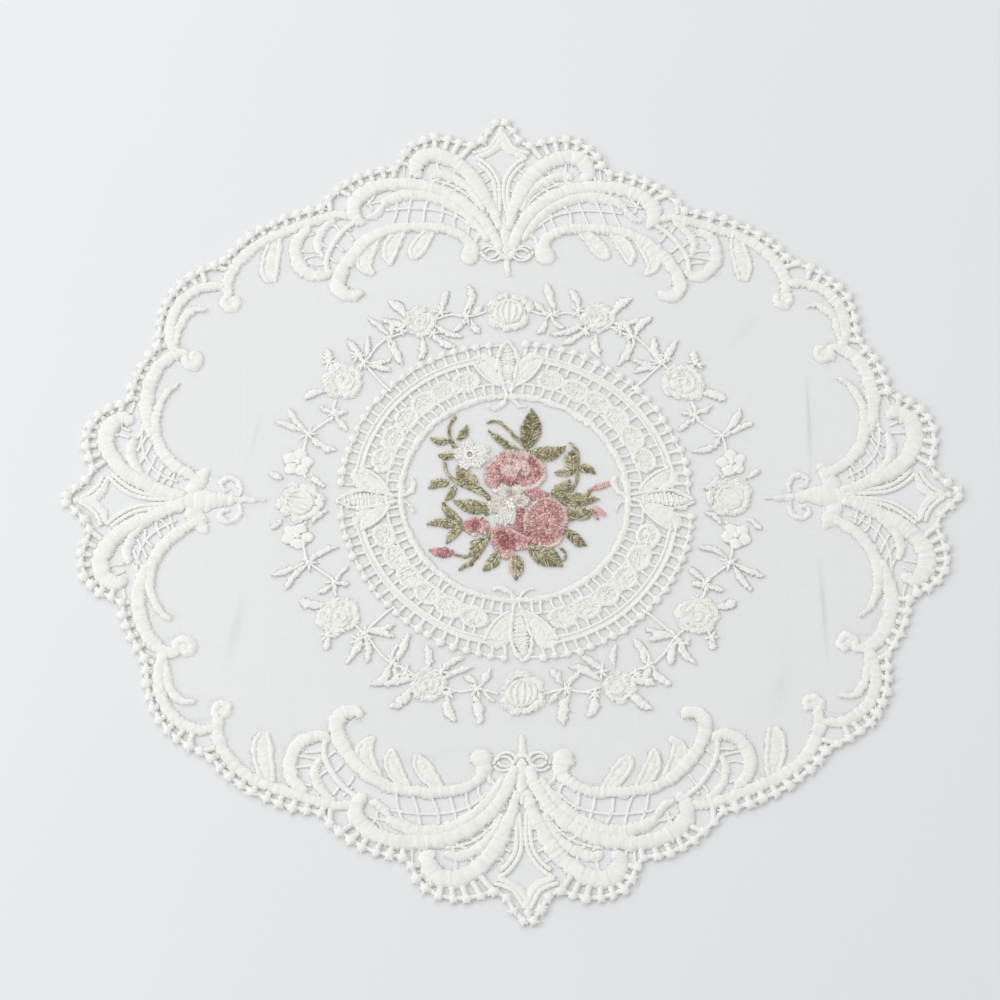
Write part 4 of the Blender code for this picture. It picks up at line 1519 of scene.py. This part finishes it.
roses = newStock()
sprigs = newStock()
steer((roses, sprigs), shift=wreathParts["centre"])
mirroredDraw((roses, sprigs), quarters, drawWreathQuarter, wreathParts)
for x, y, size, turn in wreathParts["axisRoses"]:
    drawCuppedRose(roses, x, y, size, turn)
wreathPieces = [
    makePiece("wreath_roses", roses, laceThread, "lace thread"),
    makePiece("wreath_sprigs", sprigs, laceThread, "lace thread"),
]


# Bouquet in the middle

bouquetLeaves = {
    # root x, y, tip x, y, width, bend, tone of its left and right half
    "leaves": (
        (5, 20.4, 8.2, 38.8, 8.4, -0.06, 0.24, 0.4),
        (5.8, 19.6, 20.6, 21.4, 6.6, -0.16, 0.6, 0.44),
        (2.4, 19.6, -9.8, 28.8, 2.9, 0.05, 0.4, 0.5),
        (-25.4, 24.4, -33, 26.2, 3.2, 0.12, 0.64, 0.8),
        (-22.4, 24.8, -18.2, 31.6, 3.4, -0.1, 0.64, 0.5),
        (-23.2, 18.6, -30, 18.4, 3.6, 0.1, 0.64, 0.84),
        (-26, 5.6, -34.4, 3.8, 3.8, -0.15, 0.6, 0.8),
        (-24, 4.7, -27.6, -1.8, 3.0, 0.1, 0.62, 0.54),
        (-14.6, 3.6, -22.4, 13.4, 7.0, 0.08, 0.48, 0.74),
        (-10, -4.4, -24.4, -1.8, 6.0, 0.1, 0.56, 0.72),
        (-21.6, -12, -28.8, -2.8, 4.0, 0.06, 0.54, 0.7),
        (-22.4, -13.2, -35.4, -12, 4.0, -0.1, 0.6, 0.76),
        (-21.4, -13.6, -27.8, -20.4, 3.6, -0.08, 0.74, 0.56),
        (-11.4, -18, -18.6, -25.4, 4.4, -0.06, 0.62, 0.48),
        (-7, -24, -13.4, -31.8, 4.6, 0.08, 0.7, 0.5),
        (0.4, -25.6, -0.8, -36, 5.0, 0.02, 0.5, 0.62),
        (4.6, -22.4, 17.2, -30, 8.4, 0.04, 0.62, 0.46),
        (14, 0.4, 21.6, 7, 6.2, -0.12, 0.62, 0.42),
        (23, 11, 23.4, 20, 6.2, 0.05, 0.7, 0.5),
        (24.2, 12, 15.8, 10, 3.4, 0.1, 0.5, 0.72),
        (24.4, 12.4, 31.6, 10, 3.8, 0.12, 0.7, 0.52),
        (14, -1, 32.8, -1.4, 5.8, -0.02, 0.6, 0.4),
        (18.6, -11, 28.8, -6.8, 5.4, 0.14, 0.56, 0.44),
        (19, -14.6, 26.6, -21.4, 4.2, -0.04, 0.5, 0.3),
    ),
    # way of x, y, width
    "stems": (
        (((-10.4, 32.4), (-6, 33), (-3, 30.6), (1, 26), (4.4, 21.6)), 1.5),
        (((-22.4, 36), (-25.2, 31), (-25.4, 26.6), (-22, 19.6)), 1.5),
        (((-27.6, 15.4), (-27, 11), (-24, 7), (-18, 3.4), (-14, 1.6), (-9, -2)), 1.6),
        (((-14.6, 4), (-11.4, 1), (-8.6, -3)), 1.5),
        (((-23.2, -31.8), (-18, -28.4), (-14, -24), (-11.4, -19), (-10, -15)), 1.5),
        (((-25, -25), (-20, -26), (-16, -24.6)), 1.1),
        (((-17.4, -5.6), (-13, -6.6), (-10.8, -8.4)), 1.5),
        (((15.4, -28.6), (18.4, -27), (18.4, -24), (16.4, -22)), 0.9),
        (((24.6, 10), (24, 6), (22, 2), (17, -0.6)), 1.2),
        (((22.2, 23.4), (25, 20), (25.2, 14), (24.6, 10)), 1.4),
        (((30, 3), (27.4, 0), (24.6, -1.6)), 1.4),
        (((30.4, -5.6), (27, -9.6), (24, -10.4)), 1.3),
        (((-22.6, -12.6), (-20.8, -14.4), (-19.6, -13)), 1.1),
    ),
}


def drawBouquetLeaves(stock, parts):
    # padding first, then the stitches that show
    padding = {"shape": "bed", "height": 0.6, "base": 0.4, "pitch": 1.8, "relief": 0.02}
    for x0, y0, x1, y1, width, bend, leftTone, rightTone in parts["leaves"]:
        leaf(stock, (x0, y0), (x1, y1), width * 0.95, bend, slant=0.0, tone=0.4, **padding)
        leafStitches(stock, (x0, y0), (x1, y1), width, bend, (leftTone, rightTone))
    for way, width in parts["stems"]:
        knots = [(x, y, width * 0.8) for x, y in way]
        satinBand(stock, knots, tone=0.35, **padding)
        stitchFill(stock, knots, height=0.5, base=0.6, reach=1.6, thick=0.48, slant=1.6, tone=(0.55, 0.35))


# each petal: height, base, tone of its left and right edge, knots of x, y, width
rosePetalBands = {
    "top": (
        (0.7, 0.4, (0.56, 0.5), ((-6.4, 10.4, 7), (-1, 10.6, 11), (4, 10.4, 11.4), (9, 9.6, 7))),
        (0.8, 0.45, (0.92, 0.56), ((-7.4, 13.8, 3.2), (-4.6, 16.7, 5.0), (-0.6, 17.6, 5.4), (4, 17, 5.2),
            (8.2, 14.9, 4.8), (10.6, 11, 4.4), (10.9, 7, 3.2))),
        (1.0, 0.5, (0.44, 0.76), ((-7.4, 14.2, 3.2), (-8.8, 11, 6.2), (-8.7, 7, 6.6), (-7.4, 3.2, 3.6))),
        (1.0, 0.6, (0.7, 0.5), ((-5.8, 12.8, 3.2), (-3.4, 14.2, 4.2), (-0.6, 14.6, 4), (1, 13.4, 2.6))),
        (1.1, 0.6, (0.14, 0.4), ((6, 15.4, 2.8), (8.2, 12.6, 4.4), (8.8, 9.4, 3.6))),
        (1.0, 0.6, (0.44, 0.26), ((-5.2, 7.6, 2.6), (-2.6, 6.5, 3.4), (0.4, 6, 3.4), (2, 6.6, 2.2))),
        (1.1, 0.65, (0.5, 0.62), ((1.8, 5.8, 3), (4.8, 5.6, 4.2), (7.8, 6.9, 4), (9.4, 9, 2.8))),
        (1.2, 0.7, (0.96, 0.74), ((-5.4, 10.6, 3), (-3, 10.9, 5), (-0.4, 10.3, 5), (1.2, 9.6, 3.2))),
        (1.4, 0.8, (0.98, 0.86), ((0.6, 15, 2.2), (2, 12.9, 3.2), (1.4, 10.9, 2.2))),
        (1.4, 0.8, (0.96, 0.8), ((2.8, 15, 2.2), (4.6, 13.2, 3), (5.3, 10.8, 3), (4.6, 8.4, 2.2))),
        (1.0, 0.6, (0.98, 0.9), ((-9, 2.6, 1.6), (-6, 2.4, 2), (-4.6, 4.4, 1.6))),
        (1.0, 0.6, (0.92, 1.0), ((-1, 3.6, 1.8), (3, 3.1, 2.2), (7, 4, 2.6), (10, 6, 2.2),
            (11.8, 8.6, 1.6))),
    ),
    "right": (
        (0.7, 0.4, (0.5, 0.5), ((4.6, -6, 8), (9, -9, 15), (13, -13, 15), (14.6, -17.6, 8))),
        (0.8, 0.5, (0.5, 0.44), ((4, 0.4, 4.2), (8.4, 0.6, 5.4), (12.8, -0.4, 3.4))),
        (0.9, 0.5, (0.2, 0.42), ((1.4, -5.6, 4), (1.4, -10.6, 5.4), (2.8, -15.2, 5.2),
            (6.2, -18.6, 3.6))),
        (1.1, 0.5, (0.78, 0.34), ((4.6, -15, 3), (4.6, -10.4, 4.4), (6.4, -6.4, 4.8), (10, -3.8, 4.8),
            (14, -3.8, 4.8), (17, -6.4, 4.4), (18, -10, 3.8), (17.6, -14, 3))),
        (1.2, 0.6, (0.66, 0.28), ((7.2, -15.2, 3.4), (7.2, -10.8, 4.2), (9.4, -7.6, 4.4), (13, -6.8, 4.2),
            (15.8, -9, 4.2), (16.4, -12.6, 3.8), (14.8, -16, 3.2))),
        (1.2, 0.6, (0.2, 0.76), ((5.4, -17.2, 3.2), (8.4, -19, 4.2), (12, -19.2, 4.4), (15.2, -17.6, 4),
            (17.4, -15, 3))),
        (1.5, 0.7, (0.72, 0.42), ((9.4, -14.6, 3), (9.8, -10.8, 3.8), (12.4, -9.4, 3.8),
            (14.4, -11.6, 3.8), (13.4, -15, 3.6), (11.4, -16.8, 3))),
        (0.9, 0.5, (0.98, 0.9), ((8.4, -21, 1.6), (12, -21.4, 1.8), (15.6, -20, 2.2), (17.4, -17.2, 2))),
    ),
    "low": (
        (0.7, 0.4, (0.4, 0.4), ((-6, -14.6, 5), (-5, -19, 8), (-3, -24, 5))),
        (0.7, 0.4, (0.5, 0.5), ((-1, -16.6, 4), (2.4, -19.8, 5.4), (5, -21, 3))),
        (0.9, 0.5, (0.4, 0.7), ((-8.8, -15.6, 3.2), (-8.2, -19.4, 3.8), (-6.8, -23.4, 3.6))),
        (1.0, 0.5, (0.84, 0.44), ((-9, -15.8, 3), (-6.6, -13.8, 4), (-3, -14.6, 3.8),
            (-0.8, -16.6, 2.6))),
        (1.1, 0.6, (0.1, 0.18), ((-6.6, -15.8, 4), (-5, -18.6, 6.2), (-3.8, -22, 5))),
        (1.1, 0.6, (0.36, 0.16), ((-2, -16.4, 2.8), (-1.4, -19, 3.6), (-2, -22, 3.4))),
        (1.0, 0.55, (0.5, 0.86), ((-6.6, -24.2, 3), (-3.6, -25, 3.8), (-0.8, -24, 3.4))),
        (1.0, 0.5, (0.56, 0.5), ((-1.2, -16, 2.2), (2, -18.2, 2.6), (5.2, -19.6, 2))),
        (1.1, 0.55, (0.2, 0.24), ((0, -18.6, 1.8), (2.4, -19.8, 2), (4.8, -20.6, 1.4))),
        (1.0, 0.5, (0.6, 0.84), ((-0.4, -21.4, 3), (2, -21.8, 3.6), (4.4, -21.2, 2.4))),
    ),
    "buds": (
        (0.7, 0.4, (0.5, 0.5), ((-18.8, -13, 4), (-16, -13.2, 6), (-13, -13, 4))),
        (1.0, 0.5, (0.4, 0.62), ((-14.8, -10.4, 2.4), (-17.6, -10.8, 3.4), (-19, -13.4, 3.4),
            (-17.8, -16, 2.4))),
        (1.3, 0.6, (0.06, 0.12), ((-15.6, -11.4, 2.4), (-16.8, -13.2, 3.2), (-16.6, -15, 2.2))),
        (1.2, 0.5, (0.9, 0.94), ((-17.6, -16.2, 1.4), (-16.4, -16.6, 1.8), (-15.2, -16.2, 1.2))),
        (0.9, 0.5, (0.46, 0.66), ((-14, -9.6, 2.4), (-12.2, -12.6, 3.6), (-13, -16.6, 2.8))),
        (0.9, 0.4, (0.3, 0.42), ((-25, -24, 2), (-28.2, -24.4, 4.4), (-31.4, -23.8, 3.4),
            (-34.8, -23.2, 0.8))),
        (0.9, 0.4, (0.56, 0.62), ((30, 3, 1.6), (33, 4.2, 2.8), (36.8, 5.8, 2.2))),
        (0.8, 0.4, (0.7, 0.6), ((29, -6, 1.6), (31.4, -5.8, 2.4), (34.8, -8.6, 1.2))),
        (0.8, 0.4, (0.6, 0.5), ((29, -6.4, 1.6), (30.4, -7.8, 2.2), (31.6, -10.2, 1.2))),
        (0.7, 0.5, (0.72, 0.66), ((-1.8, -26, 1), (-2.2, -30, 2), (-1.6, -34.4, 0.8))),
    ),
    # dark strokes in the folds and pale lines along the edges: tone, thickness, way
    "lines": (
        (0.1, 0.6, ((-4.8, 14.6), (-3.6, 16.8))),
        (0.1, 0.6, ((-0.6, 16), (0.2, 17.8))),
        (0.05, 0.7, ((6.4, 17), (8.6, 14.6))),
        (0.12, 0.7, ((-6, 12.8), (-6.2, 9.6))),
        (0.16, 0.6, ((-4.4, 6.6), (-0.6, 5.4), (0.8, 7))),
        (0.1, 0.6, ((11, -5.4), (13.2, -6.6))),
        (0.12, 0.6, ((15, -4.6), (16.4, -6.4))),
        (0.16, 0.7, ((8, -16.4), (9.4, -18))),
        (0.14, 0.7, ((11, -18.2), (13, -19.4))),
        (0.2, 0.6, ((16, -10.6), (16.4, -13))),
        (0.88, 1.3, ((3.4, -15.6), (3.8, -10), (6, -5.4), (9.6, -2.2), (13.6, -1.6), (17.2, -3.8),
            (19.2, -7.6), (19.4, -12))),
        (0.92, 1.2, ((7.8, -10.4), (9.8, -8.8), (13, -8))),
        (0.86, 1.0, ((10.4, -11.4), (10.8, -13.6), (12, -16.6))),
        (0.9, 1.1, ((-1.2, -15.4), (2, -17.2), (5, -18.6))),
    ),
}


def drawBouquetRoses(stock, parts):
    for group in ("top", "right", "low", "buds"):
        drawPetals(stock, parts[group], spread=0.22)
    for tone, width, way in parts["lines"]:
        stitchFill(stock, [(x, y, width) for x, y in way], height=0.15, base=1.45, tone=(tone, tone),
                   thick=0.45, pitch=0.5)


whiteFlowers = {
    "petals": (
        (0.7, 0.5, (0.4, 0.5), ((-8, -4.6, 6), (-3.6, -3.4, 9), (2.4, -2, 7))),
        (0.7, 0.5, (0.35, 0.4), ((-3.4, 1.4, 5), (1, 2, 6))),
        (0.9, 0.6, (0.9, 1.0), ((-2.8, 0.2, 3.4), (-4.4, 2.4, 5.4), (-6, 4.2, 3.4))),
        (0.9, 0.6, (1.0, 0.9), ((0.2, 0.2, 3.4), (0.9, 2.4, 5), (1.2, 4.4, 3.2))),
        (0.9, 0.6, (0.5, 0.72), ((-2.6, -2.4, 4), (-6.6, -3.6, 7.2), (-10.6, -5.6, 4.6))),
        (1.0, 0.65, (1.0, 0.86), ((-2.8, -5.8, 3.6), (-4.8, -9.4, 6.8), (-6, -12.2, 4.8))),
        (1.0, 0.65, (0.96, 1.0), ((-1.4, -5.6, 3), (-1.6, -8.8, 4.4), (-2.4, -12, 3.2))),
        (0.9, 0.6, (0.84, 0.62), ((0.4, -1.6, 4), (3, -2.2, 6), (5, -3, 3.6))),
        (0.8, 0.6, (0.7, 0.4), ((-7.6, -8.8, 1.2), (-5, -7.4, 1.6), (-2.8, -6.2, 1.2))),
        (1.2, 0.7, (0.62, 0.44), ((-2.6, -0.4, 2.6), (-1, -1.2, 3.6), (0.6, -2, 2.4))),
    ),
    "flower": (-17.4, 17.8, 6.4),
    "extra": (
        (0.8, 0.5, (0.95, 1.0), ((-13.6, 19.2, 2.6), (-11.4, 20.2, 4.2), (-9.4, 20, 2.4))),
        (0.8, 0.5, (0.9, 0.9), ((-13.6, 16.8, 3), (-11.6, 16.4, 4.4), (-9.8, 15.8, 3))),
    ),
    "stamens": (
        (-2.6, -0.4, -3.2, 1.8), (-2, -0.2, -2, 2.2), (-1.2, -0.4, -0.8, 1.8), (0.6, -2, 2.4, -2.2),
        (0.4, -3, 2, -3.6),
    ),
    "knots": ((-2.8, -3.4), (-1.4, -3.8), (-2.2, -5), (-0.8, -5.2), (-1.6, -2)),
}


def drawWhiteFlowers(stock, parts):
    drawPetals(stock, parts["petals"] + parts["extra"], spread=0.16)
    drawFiveFlower(stock, *parts["flower"], tone=1.0)
    for x0, y0, x1, y1 in parts["stamens"]:
        cord(stock, [(x0, y0), (x1, y1)], thick=0.75, level=1.5, tone=0.0)
    for x, y in parts["knots"]:
        starKnot(stock, x, y, size=1.7, level=1.4, points=4, tone=0.95)


leaves = newStock()
pinkRoses = newStock()
whites = newStock()
drawBouquetLeaves(leaves, bouquetLeaves)
drawBouquetRoses(pinkRoses, rosePetalBands)
drawWhiteFlowers(whites, whiteFlowers)
bouquetPieces = [
    makePiece("bouquet_leaves", leaves, leafThread, "leaf thread"),
    makePiece("bouquet_roses", pinkRoses, roseThread, "rose thread"),
    makePiece("bouquet_white_flowers", whites, whiteThread, "lace thread"),
]


# Table top, light and camera

studio = {
    "floorColour": (238, 239, 241), "floorDip": 0.985, "floorPatches": 3.0,
    "skyColour": (1.0, 1.0, 1.0), "skyStrength": 0.65,
    "fillFrom": (-0.3, 1.5, 1.3), "fillSize": 1.4, "fillPower": 8.8,
    "keyFrom": (-1.2, -0.04, 0.8), "keySize": 0.8, "keyPower": 6.4,
}
view = {
    "aim": (0.0, 0.0, 0.0), "heading": -5.33, "elevation": 63.5, "distance": 1.2427,
    "roll": 4.26, "lens": 114.37, "shift": (-0.015, -0.0041),
}


def makeFloor(look):
    bpy.ops.mesh.primitive_plane_add(size=6)
    floor = bpy.context.object
    floor.name = "floor"
    material, tree, shader = newMaterial("paleTop")
    place = addNode(tree, "ShaderNodeTexCoord")
    patches = addNode(tree, "ShaderNodeGroup", node_tree=softPatches, Size=look["floorPatches"])
    pale = linear(*look["floorColour"])
    mix = addTint(tree, pale, tuple(c * look["floorDip"] for c in pale[:3]) + (1.0,))
    join(tree,
         (place, "Object", patches, "Place"), (patches, "Value", mix, 0),
         (mix, 2, shader, "Base Color"))
    setUp(shader, Roughness=0.8, Specular_IOR_Level=0.1)
    floor.data.materials.append(material)


def makeLight(look):
    world = bpy.data.worlds.new("softBox")
    bpy.context.scene.world = world
    world.use_nodes = True
    sky = world.node_tree.nodes["Background"]
    sky.inputs["Color"].default_value = (*look["skyColour"], 1.0)
    sky.inputs["Strength"].default_value = look["skyStrength"]
    for name in ("key", "fill"):
        lamp = bpy.data.lights.new(name, "AREA")
        lamp.shape = "SQUARE"
        lamp.size = look[name + "Size"]
        lamp.energy = look[name + "Power"]
        light = bpy.data.objects.new(name, lamp)
        bpy.context.scene.collection.objects.link(light)
        light.location = look[name + "From"]
        light.rotation_euler = (-light.location).to_track_quat("-Z", "Y").to_euler()


def makeCamera(look):
    camera = bpy.data.objects.new("camera", bpy.data.cameras.new("camera"))
    bpy.context.scene.collection.objects.link(camera)
    camera.data.lens = look["lens"]
    camera.data.sensor_width = 36
    camera.data.shift_x, camera.data.shift_y = look["shift"]
    camera.data.clip_start = 0.01
    camera.data.clip_end = 20
    turn = (Matrix.Rotation(math.radians(look["heading"]), 4, "Z")
            @ Matrix.Rotation(math.radians(90 - look["elevation"]), 4, "X"))
    place = Matrix.Translation(look["aim"]) @ turn @ Matrix.Translation((0, 0, look["distance"]))
    camera.matrix_world = place @ Matrix.Rotation(math.radians(look["roll"]), 4, "Z")
    bpy.context.scene.camera = camera


makeFloor(studio)
makeLight(studio)
makeCamera(view)
bpy.context.scene.view_settings.view_transform = "Standard"
print("stage, light and camera are set")
